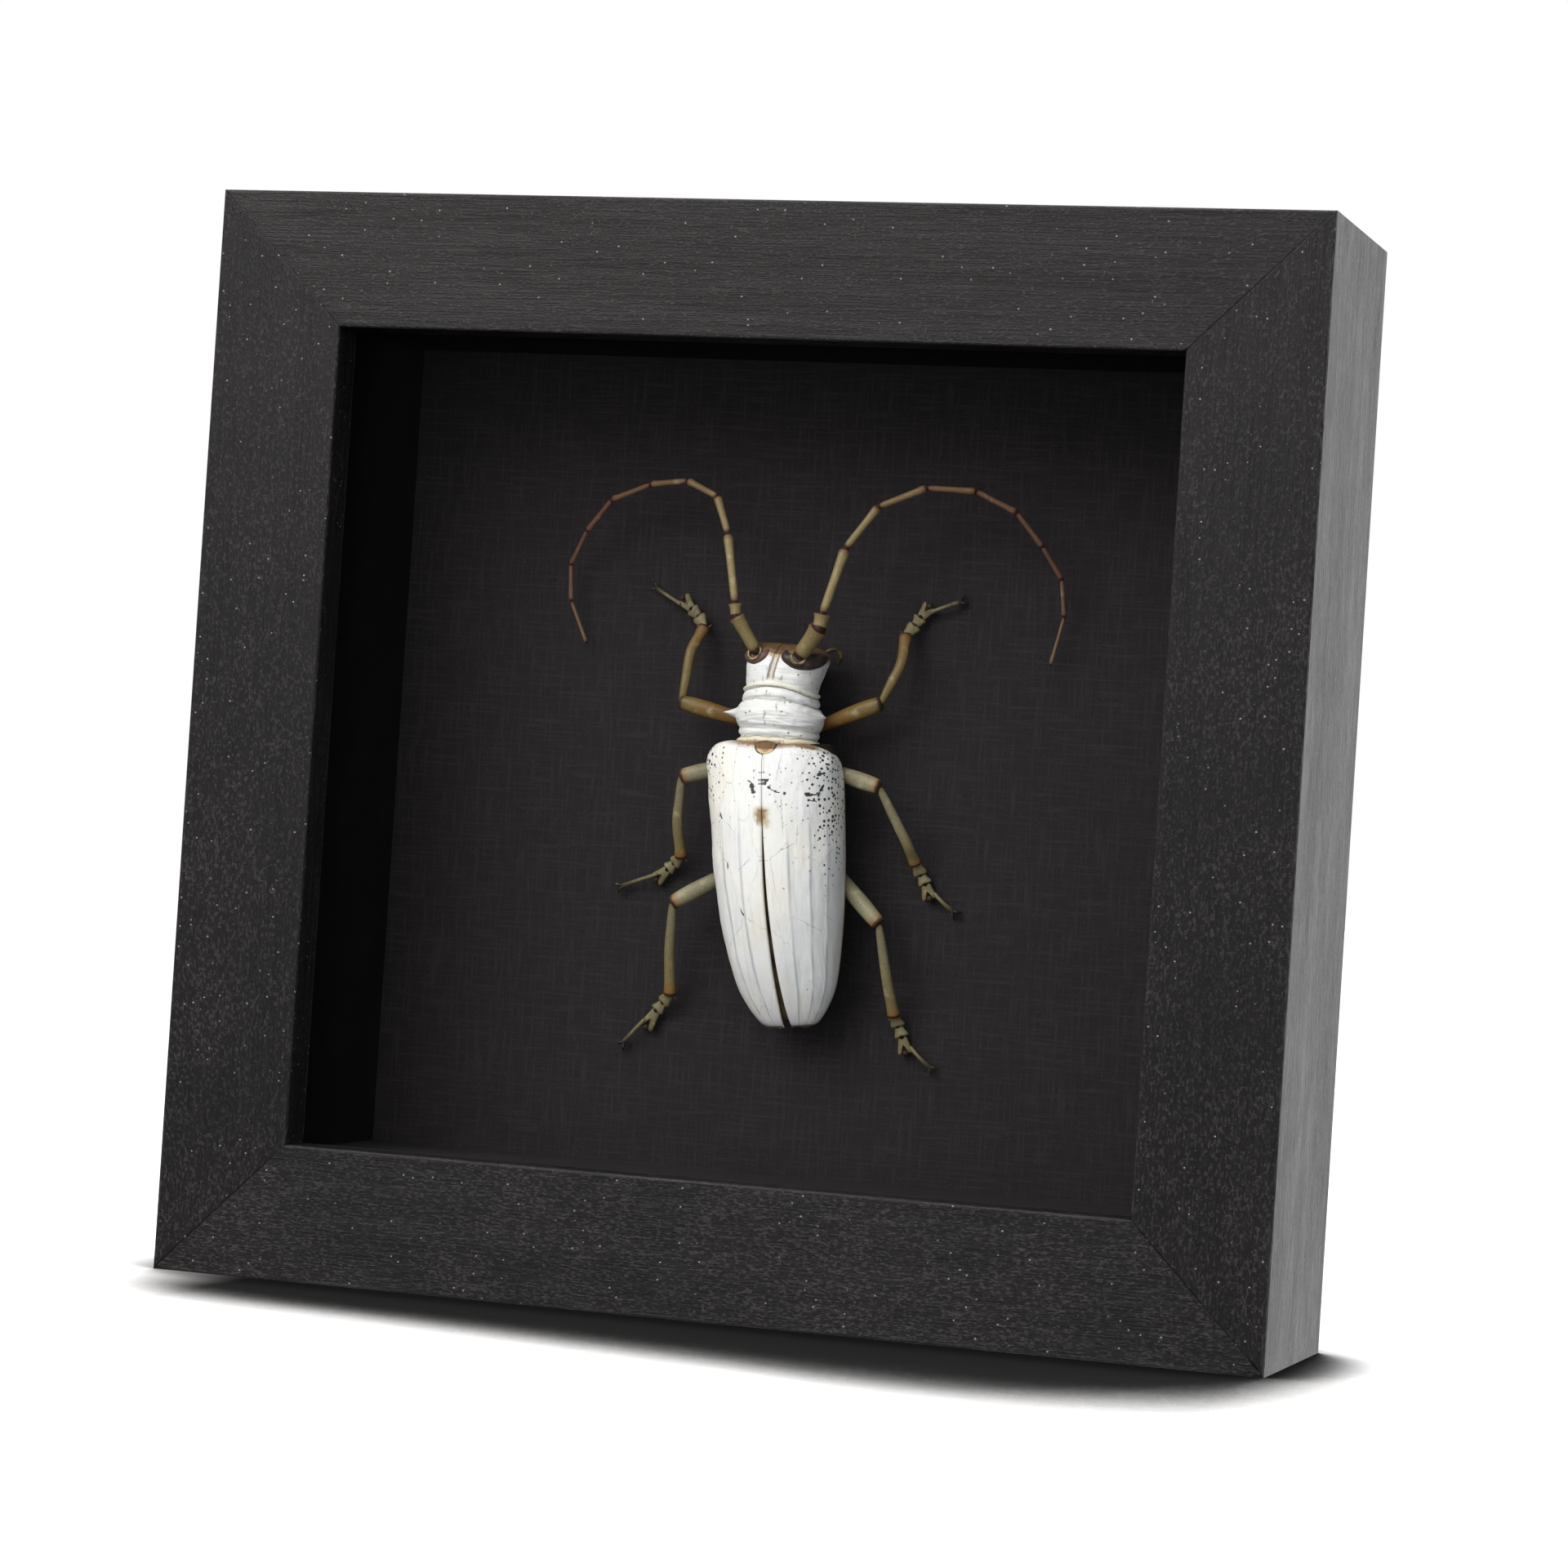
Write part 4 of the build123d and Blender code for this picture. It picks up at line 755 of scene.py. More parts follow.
# Wing cases: rows run down the back, columns from the suture round to the turned-under edge
wings = {
    "waist": (-0.9, 2.8), "tailSwing": 6.5, "rows": 150, "columns": 54, "roundness": 2.25, "wall": 0.32,
    "stations": [  # down the back: half width, top, margin
        (-0.45, 7.5, 11.8, 8.0), (-0.2, 8.4, 12.7, 7.8), (0.2, 9.0, 13.2, 7.7),
        (0.8, 9.5, 13.6, 7.6), (1.8, 9.8, 14.1, 7.6),
        (3.5, 9.75, 14.6, 7.6), (6.5, 9.75, 15.1, 7.5), (10.0, 9.65, 15.5, 7.5),
        (16.0, 9.45, 15.6, 7.5), (20.0, 9.2, 15.4, 7.5),
        (24.0, 8.85, 14.8, 7.4), (28.0, 8.3, 13.7, 7.2), (31.5, 7.7, 12.5, 7.0),
        (34.5, 6.9, 11.1, 6.7), (37.0, 5.65, 9.6, 6.4),
        (38.6, 4.5, 8.4, 6.2), (39.3, 3.75, 7.7, 6.1), (39.7, 2.7, 7.1, 6.1),
    ],
    "leftEdge": [
        (-0.5, 0.02), (9.0, 0.03), (12.0, 0.08), (16.0, 0.2), (22.0, 0.3), (30.0, 0.4), (36.5, 0.52), (40.0, 0.75),
    ],
    "rightEdge": [
        (-0.5, 0.02), (9.0, 0.03), (12.0, 0.06), (16.0, 0.1), (22.0, 0.14), (30.0, 0.2), (36.5, 0.32), (40.0, 0.45),
    ],
    "notchLeft": (1.32, 1.45), "notchRight": (1.92, 1.45),  # half width and length of the place left for the scutellum
    "leftDrop": 0.45, "rightDrop": 0.6,  # how far the outer shoulder falls back from the base line
    "rightNarrow": 0.06,  # the right shoulder is narrower by this share
    "veinHeight": 0.06, "veinWidth": 0.03,
    "shoulder": {"at": (0.72, 2.2), "size": (0.15, 1.8), "height": 0.3},
    "ripples": ((0.35, 0.16, 3.7, 0.16), (1.3, 0.7, 9.1, 0.05)),  # per mm across and down, seed and height
}
pitCrowds = {  # how thickly the pits stand, first on the right and then on the left wing case
    "flank": {"at": 0.74, "spread": 0.3, "fade": (11, 25), "amounts": (0.72, 0.15)},
    "shoulder": {"at": (0.72, 0.75), "spread": 0.28, "down": (2.4, 4.5), "amounts": (1.0, 0.8)},
    "scattered": {"amount": 0.16, "fade": (6, 16), "least": 0.012},
}


def backPoint(across, down, height):  # a place on the hind body, from its own length and width to the board
    swing = math.radians(wings["tailSwing"])
    rowTurn = swing * max(0.0, min(1.0, (down + 1) / 7))
    x = wings["waist"][0] + down * math.sin(swing) + across * math.cos(rowTurn)
    z = wings["waist"][1] - down * math.cos(swing) + across * math.sin(rowTurn)
    return onBoard(x, z, height)


def wingRow(down, edge, notch):
    # one row of a wing case: across, height, share of the way round, and length along the skin
    w = wings
    half, top, margin = smoothValue(w["stations"], down)
    inner = smoothValue(edge, down)[0]
    notchHalf, notchLength = notch
    if down < notchLength:
        inner = max(inner, notchHalf * math.sqrt(max(0.0, 1 - (max(down, 0) / notchLength) ** 2)))
    curve = w["roundness"]
    innerTop = margin + (top - margin) * (1 - (inner / half) ** curve) ** (1 / curve)
    roll = 0.15 + 0.85 * step01(down, 4, 8)  # the edge that meets the other wing case rolls under, less near the base
    places = [(inner + dx, innerTop + roll * dy, 0.0) for dx, dy in ((0.02, -0.55), (0.0, -0.22), (0.06, -0.06))]
    for k in range(w["columns"]):
        share = (k + 1) / w["columns"]
        sweep = math.sin(share * math.pi / 2) ** (2 / curve)
        rise = math.cos(share * math.pi / 2) ** (2 / curve) if share < 1 else 0.0
        places.append((inner + (half - inner) * sweep, margin + (innerTop - margin) * rise, share))
    tucked = ((0.02, -0.35), (-0.12, -0.75), (-0.5, -0.95), (-1.1, -0.85))  # the margin turned under
    places += [(half + dx, margin + dy, 1.0) for dx, dy in tucked]
    length, row = inner, []
    for k, (across, height, share) in enumerate(places):
        if k > 3:
            length += math.hypot(across - places[k - 1][0], height - places[k - 1][1])
        row.append((across, height, share, length))
    return row


def wingCase(name, side, edge, veinShares):
    w, bump = wings, wings["shoulder"]
    hand = 0 if side > 0 else 1  # right or left, for the pairs in pitCrowds
    shape = {"points": [], "faces": [], "lie": [], "pitting": [], "share": [], "rim": []}
    first, last = w["stations"][0][0], w["stations"][-1][0]
    for step in range(w["rows"] + 1):
        part = step / w["rows"]
        down = first + (last - first) * (0.35 * part + 0.65 * part**1.6)
        row = wingRow(down, edge, w["notchRight" if side > 0 else "notchLeft"])
        narrow = w["rightNarrow"] * (1 - step01(down, 0.3, 4.2)) if side > 0 else 0.0
        fallBack = w["rightDrop" if side > 0 else "leftDrop"] * (1 - step01(down, 0.5, 5.0))
        for k, (across, height, share, length) in enumerate(row):
            fade = step01(down, 8, 16) * (1 - step01(down, 36, 39))
            lift = sum(bell(share, vein, w["veinWidth"]) for vein in veinShares) * fade * w["veinHeight"]
            lift += (
                bell(share, bump["at"][0], bump["size"][0])
                * bell(down, bump["at"][1], bump["size"][1]) * bump["height"]
            )
            for acrossRate, downRate, seed, rippleHeight in w["ripples"]:
                lift += noise.noise(Vector((side * across * acrossRate, down * downRate, seed))) * rippleHeight
            lift *= 1 if 0.02 < share < 0.98 else 0.15
            bend = share * math.pi / 2
            lower = down + fallBack * step01(share, 0.4, 1.0)
            across *= 1 - narrow * share
            shape["points"].append(
                backPoint(side * (across + lift * math.sin(bend)), lower, height + lift * math.cos(bend))
            )
            shape["lie"].append(Vector((side * length, down, 0)))
            shape["share"].append(share)
            flank, onShoulder, scattered = pitCrowds["flank"], pitCrowds["shoulder"], pitCrowds["scattered"]
            crowds = (
                bell(share, flank["at"], flank["spread"]) * (1 - step01(down, *flank["fade"])) * flank["amounts"][hand],
                bell(share, onShoulder["at"][hand], onShoulder["spread"])
                * bell(down, *onShoulder["down"]) * onShoulder["amounts"][hand],
            )
            few = scattered["amount"] * (1 - step01(down, *scattered["fade"])) + scattered["least"]
            shape["pitting"].append(min(0.95, max(crowds) + few) if down > 0.2 else 0.0)
            seam = max(0.0, 1 - abs(k - 1) / 2) * 0.6 * step01(down, 5, 10)
            shape["rim"].append(max(seam, step01(share, 0.985, 1.0) * 0.8, step01(down, 39.2, 39.6)))
    columns = len(row)
    for step in range(w["rows"]):
        for k in range(columns - 1):
            a = step * columns + k
            shape["faces"].append((a, a + 1, a + 1 + columns, a + columns))
    piece = makePiece(name, shape)
    middle = piece.data.polygons[len(piece.data.polygons) // 2 + columns // 3]
    if middle.normal.y > 0:  # an open sheet may have been turned inwards
        piece.data.flip_normals()
    wall = piece.modifiers.new("shell", "SOLIDIFY")
    wall.thickness = w["wall"] * mm
    wall.offset = -1
    return piece


settle(
    wingCase("leftWingCase", -1, wings["leftEdge"], veins["left"]),
    "wing_case", wingFinish, "beetle_left_wing_case",
)
settle(
    wingCase("rightWingCase", 1, wings["rightEdge"], veins["right"]),
    "wing_case", wingFinish, "beetle_right_wing_case",
)
print("wing cases made")

# Scutellum: a small half-round plate with a raised rim
scutellum = {
    "aside": 0.3, "halfWidth": 1.66, "length": 1.5, "height": 13.45, "rings": 9, "sides": 36, "thickness": 0.45,
}


def scutellumPlate():
    s = scutellum
    shape = {"points": [], "faces": [], "reach": [], "down": []}
    for ring in range(s["rings"] + 1):
        reach = ring / s["rings"]
        for k in range(s["sides"]):
            turn = 2 * math.pi * k / s["sides"]
            across = s["halfWidth"] * reach * math.cos(turn)
            down = s["length"] * reach * math.sin(turn)
            down = down if down > 0 else down * 0.35
            lift = 0.12 * bell(reach, 0.84, 0.1) - 0.22 * step01(reach, 0.9, 1.0)
            lift += 0.22 * down - 0.075 * across * across + 0.06 * noise.noise(Vector((across, down, 5.0)))
            shape["points"].append(backPoint(across + s["aside"], down, s["height"] + lift))
            shape["reach"].append(reach)
            shape["down"].append(down / s["length"])
    for ring in range(s["rings"]):
        for k in range(s["sides"]):
            a, b = ring * s["sides"] + k, ring * s["sides"] + (k + 1) % s["sides"]
            shape["faces"].append((a, b, b + s["sides"], a + s["sides"]))
    piece = makePiece("scutellumPlate", shape)
    work = bmesh.new()
    work.from_mesh(piece.data)
    bmesh.ops.remove_doubles(work, verts=work.verts, dist=0.00001)
    bmesh.ops.recalc_face_normals(work, faces=work.faces)
    work.to_mesh(piece.data)
    work.free()
    if sum(f.normal.y for f in piece.data.polygons) > 0:
        piece.data.flip_normals()
    wall = piece.modifiers.new("plate", "SOLIDIFY")
    wall.thickness = s["thickness"] * mm
    wall.offset = -1
    return piece


settle(scutellumPlate(), "scutellum", scutellumFinish, "beetle_scutellum")


trunkLean = 0.04  # the right side of neck and head lies back by this share of its distance from the middle


def ringBody(trunk, relief):
    # a trunk of rings: rows of (z, half width, half thickness, centre height, middle, how far its ends lie back)
    stations, rows, sides, squareness = [trunk[key] for key in ("stations", "rows", "sides", "squareness")]
    shape = {"points": [], "faces": [], "lie": []}
    low, high = stations[0][0], stations[-1][0]
    for row in range(rows + 1):
        z = low + (high - low) * row / rows
        half, thick, centre, middle, bow = smoothValue(stations, z)
        for k in range(sides):
            turn = 2 * math.pi * k / sides
            c, s = math.cos(turn), math.sin(turn)
            x = math.copysign(abs(c) ** (2 / squareness), c) * half
            y = math.copysign(abs(s) ** (2 / squareness), s) * thick
            push = relief(middle + x, z, y / thick)
            length = math.hypot(x, y) or 1
            back = bow * (x / half) ** 2
            back += trunkLean * step01(z, 3, 9) * x
            shape["points"].append(
                onBoard(middle + x * (1 + push / length), z - back, centre + y * (1 + push / length))
            )
            shape["lie"].append(Vector((middle + x, z, step01(y / thick, 0.3, 0.8))))
    for row in range(rows):
        for k in range(sides):
            a, b = row * sides + k, row * sides + (k + 1) % sides
            shape["faces"].append((a, b, b + sides, a + sides))
    for row in (0, rows):
        pole = len(shape["points"])
        ring = shape["points"][row * sides:(row + 1) * sides]
        shape["points"].append(sum(ring, Vector()) / sides)
        shape["lie"].append(shape["lie"][row * sides])
        for k in range(sides):
            shape["faces"].append((row * sides + k, row * sides + (k + 1) % sides, pole))
    return shape


prothorax = {
    "stations": [
        (2.75, 4.6, 3.8, 7.6, -0.35, 0.0), (2.9, 5.7, 4.5, 7.8, -0.35, 0.0), (3.2, 5.95, 4.75, 7.9, -0.35, 0.0),
        (3.6, 5.85, 4.75, 8.0, -0.35, 0.1), (3.95, 5.45, 4.4, 8.0, -0.35, 0.1), (4.4, 5.7, 4.7, 8.0, -0.35, 0.15),
        (4.9, 5.72, 4.75, 8.0, -0.35, 0.2), (5.15, 5.64, 4.66, 8.0, -0.35, 0.2), (5.75, 5.95, 5.0, 8.05, -0.35, 0.3),
        (6.7, 6.2, 5.25, 8.1, -0.35, 0.45), (7.6, 6.25, 5.3, 8.1, -0.35, 0.55), (8.5, 5.95, 5.15, 8.05, -0.35, 0.65),
        (9.05, 5.6, 4.9, 8.0, -0.35, 0.75), (9.35, 5.35, 4.6, 8.0, -0.35, 0.8), (9.75, 5.5, 4.85, 8.0, -0.35, 0.85),
        (10.35, 5.4, 4.85, 8.0, -0.35, 0.95), (10.75, 5.2, 4.65, 8.0, -0.35, 1.0),
        (10.93, 5.12, 4.55, 8.0, -0.35, 1.05),
        (11.12, 5.38, 4.88, 8.0, -0.35, 1.05), (11.35, 5.45, 4.95, 8.0, -0.35, 1.05),
        (11.5, 5.3, 4.8, 8.0, -0.35, 1.05),
        (11.57, 5.0, 4.5, 8.0, -0.35, 1.05), (11.59, 4.4, 3.9, 8.0, -0.35, 1.05),
    ],
    "spines": {"leftZ": 7.5, "rightZ": 8.0, "up": 0.05, "size": (1.15, 0.42), "left": 2.2, "right": 0.75},
    "fold": 0.13, "rows": 120, "sides": 144, "squareness": 2.2,
}


def prothoraxRelief(x, z, up):
    s = prothorax["spines"]
    wave = noise.noise(Vector((x * 0.42, z * 1.35, up * 0.8))) + 0.5 * noise.noise(Vector((x * 0.9, z * 3.0, up)))
    cross = 0.45 * noise.noise(Vector((x * 1.6, z * 0.8, up * 1.5)))
    fold = prothorax["fold"] * (wave + cross) * (0.4 + 0.6 * step01(up, -0.2, 0.5)) * (1 - step01(z, 10.6, 10.9))
    near = max(0.0, 1 - math.hypot(
        (z - s["leftZ" if x < 0 else "rightZ"]) / s["size"][0], (up - s["up"]) / s["size"][1],
    ))
    return fold + near**1.7 * (s["left"] if x < 0 else s["right"])


settle(
    makePiece("prothorax", ringBody(prothorax, prothoraxRelief)),
    "head_and_prothorax", prothoraxFinish, "beetle_prothorax",
)

head = {
    "stations": [
        (11.15, 4.3, 3.8, 8.0, -0.3, 1.0), (11.4, 4.8, 4.3, 8.0, -0.3, 1.0), (11.9, 5.0, 4.6, 8.0, -0.3, 0.95),
        (12.5, 5.12, 4.75, 7.95, -0.25, 0.9), (13.2, 5.25, 4.85, 7.85, -0.15, 0.7), (14.2, 5.5, 5.0, 7.7, 0.0, 0.4),
        (15.1, 5.7, 5.05, 7.4, 0.15, 0.2), (15.9, 5.7, 4.95, 7.1, 0.1, 0.0), (16.5, 5.35, 4.7, 6.8, 0.0, 0.0),
        (16.95, 4.6, 4.2, 6.5, 0.0, 0.0), (17.2, 3.6, 3.4, 6.3, 0.0, 0.0), (17.3, 2.4, 2.4, 6.2, 0.0, 0.0),
    ],
    "grooves": [(-0.35, -1.15), (0.4, -0.35)], "grooveEnds": (15.9, 12.0), "grooveDepth": 0.13, "grooveWidth": 0.2,
    "browDip": {"x": -0.2, "z": 16.5, "size": (0.8, 0.9), "depth": 0.6}, "rows": 90, "sides": 144, "squareness": 2.45,
}


def headRelief(x, z, up):
    h, d = head, head["browDip"]
    top = step01(up, 0.5, 0.9)
    front, rear = h["grooveEnds"]
    part = (front - z) / (front - rear)
    cut = (
        sum(bell(x, a + (b - a) * part, h["grooveWidth"]) for a, b in h["grooves"])
        * h["grooveDepth"] * step01(z, rear - 0.4, rear + 0.4)
    )
    dip = bell(x, d["x"], d["size"][0]) * bell(z, d["z"], d["size"][1]) * d["depth"]
    skin = noise.noise(Vector((x * 0.9, z * 0.9, up * 2))) * 0.09
    return skin - (cut + dip) * top


settle(
    makePiece("head", ringBody(head, headRelief)),
    "head_and_prothorax", headFinish, "beetle_head",
)

# Eyes: each one a thick crescent round the feeler's socket
eyes = {
    "right": [
        (1.1, 16.0, 11.9), (1.35, 15.2, 12.2), (2.7, 14.62, 12.05),
        (4.3, 14.7, 11.1), (5.3, 15.15, 9.6), (5.6, 15.5, 7.8),
    ],
    "left": [
        (-1.6, 16.1, 11.6), (-1.95, 15.35, 12.0), (-3.0, 14.8, 11.8),
        (-4.2, 15.0, 10.8), (-4.9, 15.4, 9.4), (-5.1, 15.6, 7.8),
    ],
    "rightRadii": (0.35, 0.8, 1.05, 1.15, 1.05, 0.6), "leftRadii": (0.3, 0.65, 0.9, 0.9, 0.85, 0.5), "flatness": 0.85,
}
eyeShape = emptyShape()
for sideName in ("left", "right"):
    addTube(
        eyeShape, [onBoard(*p) for p in eyes[sideName]], eyes[sideName + "Radii"],
        sides=24, flatness=eyes["flatness"],
    )
settle(makePiece("eyes", eyeShape), "beetle_eye", eyeFinish, "beetle_eyes")

# Sockets: a cream lip round the dark hollow that each feeler grows from
sockets = {
    "places": [(3.15, 15.25, 12.55), (-3.4, 15.65, 12.2)], "lip": 0.98, "thickness": 0.19, "tilt": (0.3, -1.0, 0.35),
    "sides": 40, "tubeSides": 10, "hollow": 0.35,
}


def socketPiece(name, isLip):
    s = sockets
    shape = {"points": [], "faces": []}
    for place in s["places"]:
        tilt = Vector(s["tilt"])
        tilt.x *= 1 if place[0] > 0 else -1
        normal = tilt.normalized()
        across = normal.cross(Vector((0, 0, 1))).normalized()
        up = across.cross(normal)
        middle = onBoard(*place)
        rings = s["tubeSides"]
        start = len(shape["points"])
        for k in range(s["sides"]):
            turn = 2 * math.pi * k / s["sides"]
            outward = across * math.cos(turn) + up * math.sin(turn)
            for j in range(rings):
                if isLip:
                    roll = 2 * math.pi * j / rings
                    offset = (outward * math.cos(roll) + normal * math.sin(roll)) * s["thickness"]
                    shape["points"].append(middle + outward * s["lip"] + offset)
                else:  # a lens-shaped floor: out along its dished top and back along its underside
                    reach = math.sin(math.pi * (j + 0.5) / rings) * s["lip"]
                    depth = s["hollow"] * (1 if j < rings / 2 else 2.2) - 0.25 * (reach / s["lip"]) ** 2
                    shape["points"].append(middle + outward * reach - normal * depth)
        for k in range(s["sides"]):
            for j in range(rings if isLip else rings - 1):
                a, b = start + k * rings + j, start + k * rings + (j + 1) % rings
                c, d = [start + (k + 1) % s["sides"] * rings + i for i in (j, (j + 1) % rings)]
                shape["faces"].append((a, b, d, c))
        if not isLip:
            for j in (0, rings - 1):
                shape["faces"].append(tuple(start + k * rings + j for k in range(s["sides"])))
    return makePiece(name, shape)


settle(socketPiece("feelerSocketLips", True), "head_and_prothorax", socketFinish)
settle(socketPiece("feelerSocketHollows", False), "head_and_prothorax", jointFinish)

# Mouth: jaws folded under the face, with two jointed palps outside them
mouth = {
    "jaw": [(1.9, 15.4, 3.6), (1.7, 16.4, 2.8), (1.0, 16.9, 2.0), (0.4, 16.9, 1.5)], "jawRadii": (1.0, 0.85, 0.5, 0.2),
    "palp": [(3.6, 15.6, 3.8), (4.9, 16.9, 3.4), (5.9, 17.0, 3.0), (6.5, 16.0, 2.8), (6.0, 15.1, 2.7)],
    "palpRadii": (0.3, 0.3, 0.26, 0.3, 0.2),
}
jawShape, palpShape = emptyShape(), emptyShape()
for side in (-1, 1):
    addTube(jawShape, [onBoard(side * x, z, h) for x, z, h in mouth["jaw"]], mouth["jawRadii"])
    addTube(palpShape, [onBoard(side * x, z, h) for x, z, h in mouth["palp"]], mouth["palpRadii"], sides=12)
settle(makePiece("jaws", jawShape), "mouthparts", jawFinish, "beetle_mouthparts")
settle(makePiece("palps", palpShape), "mouthparts", palpFinish)
print("head made")


def limbTree():  # Geometry Nodes: a segment on each edge of a bare line and a joint ball on each of its points
    tree = bpy.data.node_groups.new("repeatAlongLimb", "GeometryNodeTree")
    for label, kind in (
        ("Geometry", "NodeSocketGeometry"), ("Segment", "NodeSocketObject"), ("Length Share", "NodeSocketFloat"),
        ("Joint Size", "NodeSocketFloat"), ("Segment Finish", "NodeSocketMaterial"),
        ("Joint Finish", "NodeSocketMaterial"),
    ):
        tree.interface.new_socket(label, in_out="INPUT", socket_type=kind)
    tree.interface.new_socket("Geometry", in_out="OUTPUT", socket_type="NodeSocketGeometry")
    given = addNode(tree, "NodeGroupInput").outputs
    ends = addNode(tree, "GeometryNodeInputMeshEdgeVertices").outputs
    run = addNode(tree, "ShaderNodeVectorMath", {0: ends["Position 2"], 1: ends["Position 1"]}, operation="SUBTRACT")
    marked = addNode(tree, "GeometryNodeStoreNamedAttribute", {
        "Geometry": given["Geometry"], "Name": "run", "Value": run,
    }, data_type="FLOAT_VECTOR", domain="EDGE")
    middles = addNode(tree, "GeometryNodeMeshToPoints", {"Mesh": marked}, mode="EDGES")
    heading = addNode(tree, "GeometryNodeInputNamedAttribute", {"Name": "run"}, data_type="FLOAT_VECTOR")
    size = addNode(tree, "GeometryNodeInputNamedAttribute", {"Name": "thickness"}, data_type="FLOAT")
    length = addNode(tree, "ShaderNodeVectorMath", {0: heading}, operation="LENGTH").outputs["Value"]
    stretch = addNode(tree, "ShaderNodeMath", {0: length, 1: given["Length Share"]}, operation="MULTIPLY")
    scale = addNode(tree, "ShaderNodeCombineXYZ", {"X": size, "Y": size, "Z": stretch})
    aimed = addNode(tree, "FunctionNodeAlignRotationToVector", {"Vector": heading}, axis="Z")
    levelled = addNode(tree, "FunctionNodeAlignRotationToVector", {
        "Rotation": aimed, "Vector": (0, 1, 0),
    }, axis="Y", pivot_axis="Z")
    unit = addNode(tree, "GeometryNodeObjectInfo", {"Object": given["Segment"]}).outputs["Geometry"]
    segments = addNode(tree, "GeometryNodeInstanceOnPoints", {
        "Points": middles, "Instance": unit, "Rotation": levelled, "Scale": scale,
    })
    corners = addNode(tree, "GeometryNodeMeshToPoints", {"Mesh": given["Geometry"]}, mode="VERTICES")
    ball = addNode(tree, "GeometryNodeMeshUVSphere", {"Segments": 14, "Rings": 9, "Radius": 1.0})
    ballSize = addNode(tree, "ShaderNodeMath", {0: size, 1: given["Joint Size"]}, operation="MULTIPLY")
    joints = addNode(tree, "GeometryNodeInstanceOnPoints", {"Points": corners, "Instance": ball, "Scale": ballSize})
    both = addNode(tree, "GeometryNodeJoinGeometry")
    for instances, finish in ((segments, "Segment Finish"), (joints, "Joint Finish")):
        solid = addNode(tree, "GeometryNodeRealizeInstances", {"Geometry": instances})
        painted = addNode(tree, "GeometryNodeSetMaterial", {"Geometry": solid, "Material": given[finish]})
        tree.links.new(painted.outputs[0], both.inputs[0])
    smooth = addNode(tree, "GeometryNodeSetShadeSmooth", {"Geometry": both})
    addNode(tree, "NodeGroupOutput", {"Geometry": smooth})
    return tree


repeatAlongLimb = limbTree()


def limbRun(name, joints, sizes, settings):  # the joints as a bare line of edges, filled in by the tree and made plain
    mesh = bpy.data.meshes.new(name)
    mesh.from_pydata([onBoard(*joint) * mm for joint in joints], [(i, i + 1) for i in range(len(joints) - 1)], [])
    start, end = settings["Along"]
    shares = [start + (end - start) * i / (len(joints) - 1) for i in range(len(joints))]
    for label, values in (("thickness", [size * mm for size in sizes]), ("along", shares)):
        mesh.attributes.new(label, "FLOAT", "POINT").data.foreach_set("value", values)
    piece = bpy.data.objects.new(name, mesh)
    scene.collection.objects.link(piece)
    modifier = piece.modifiers.new("segments", "NODES")
    modifier.node_group = repeatAlongLimb
    for item in repeatAlongLimb.interface.items_tree:
        if item.in_out == "INPUT" and item.name in settings:
            modifier[item.identifier] = settings[item.name]
    drawn = piece.evaluated_get(bpy.context.evaluated_depsgraph_get())
    plain = bpy.data.meshes.new_from_object(drawn)
    piece.modifiers.clear()
    piece.data = plain
    return piece


def unitSegment(name, profile, sides, flatness, notch):
    # a segment one unit long and one unit in radius along Z: profile rows of (place from 0 to 1, radius)
    rows = 22
    shape = {"points": [], "faces": [], "local": []}
    for row in range(rows + 1):
        share = row / rows
        radius = max(0.0, smoothValue(profile, share)[0])
        for k in range(sides):
            turn = 2 * math.pi * k / sides
            pull = notch * step01(share, 0.4, 1.0) * bell(math.cos(turn), 0.0, 0.4)
            x, y = radius * math.cos(turn), radius * flatness * math.sin(turn)
            shape["points"].append(Vector((x, y, share - 0.5 - pull)) / mm)
            shape["local"].append(share)
    for row in range(rows):
        for k in range(sides):
            a, b = row * sides + k, row * sides + (k + 1) % sides
            shape["faces"].append((a, b, b + sides, a + sides))
    for row in (0, rows):
        pole = len(shape["points"])
        ring = shape["points"][row * sides:(row + 1) * sides]
        shape["points"].append(sum(ring, Vector()) / sides)
        shape["local"].append(row / rows)
        for k in range(sides):
            shape["faces"].append((row * sides + k, row * sides + (k + 1) % sides, pole))
    piece = makePiece(name, shape)
    scene.collection.objects.unlink(piece)
    return piece


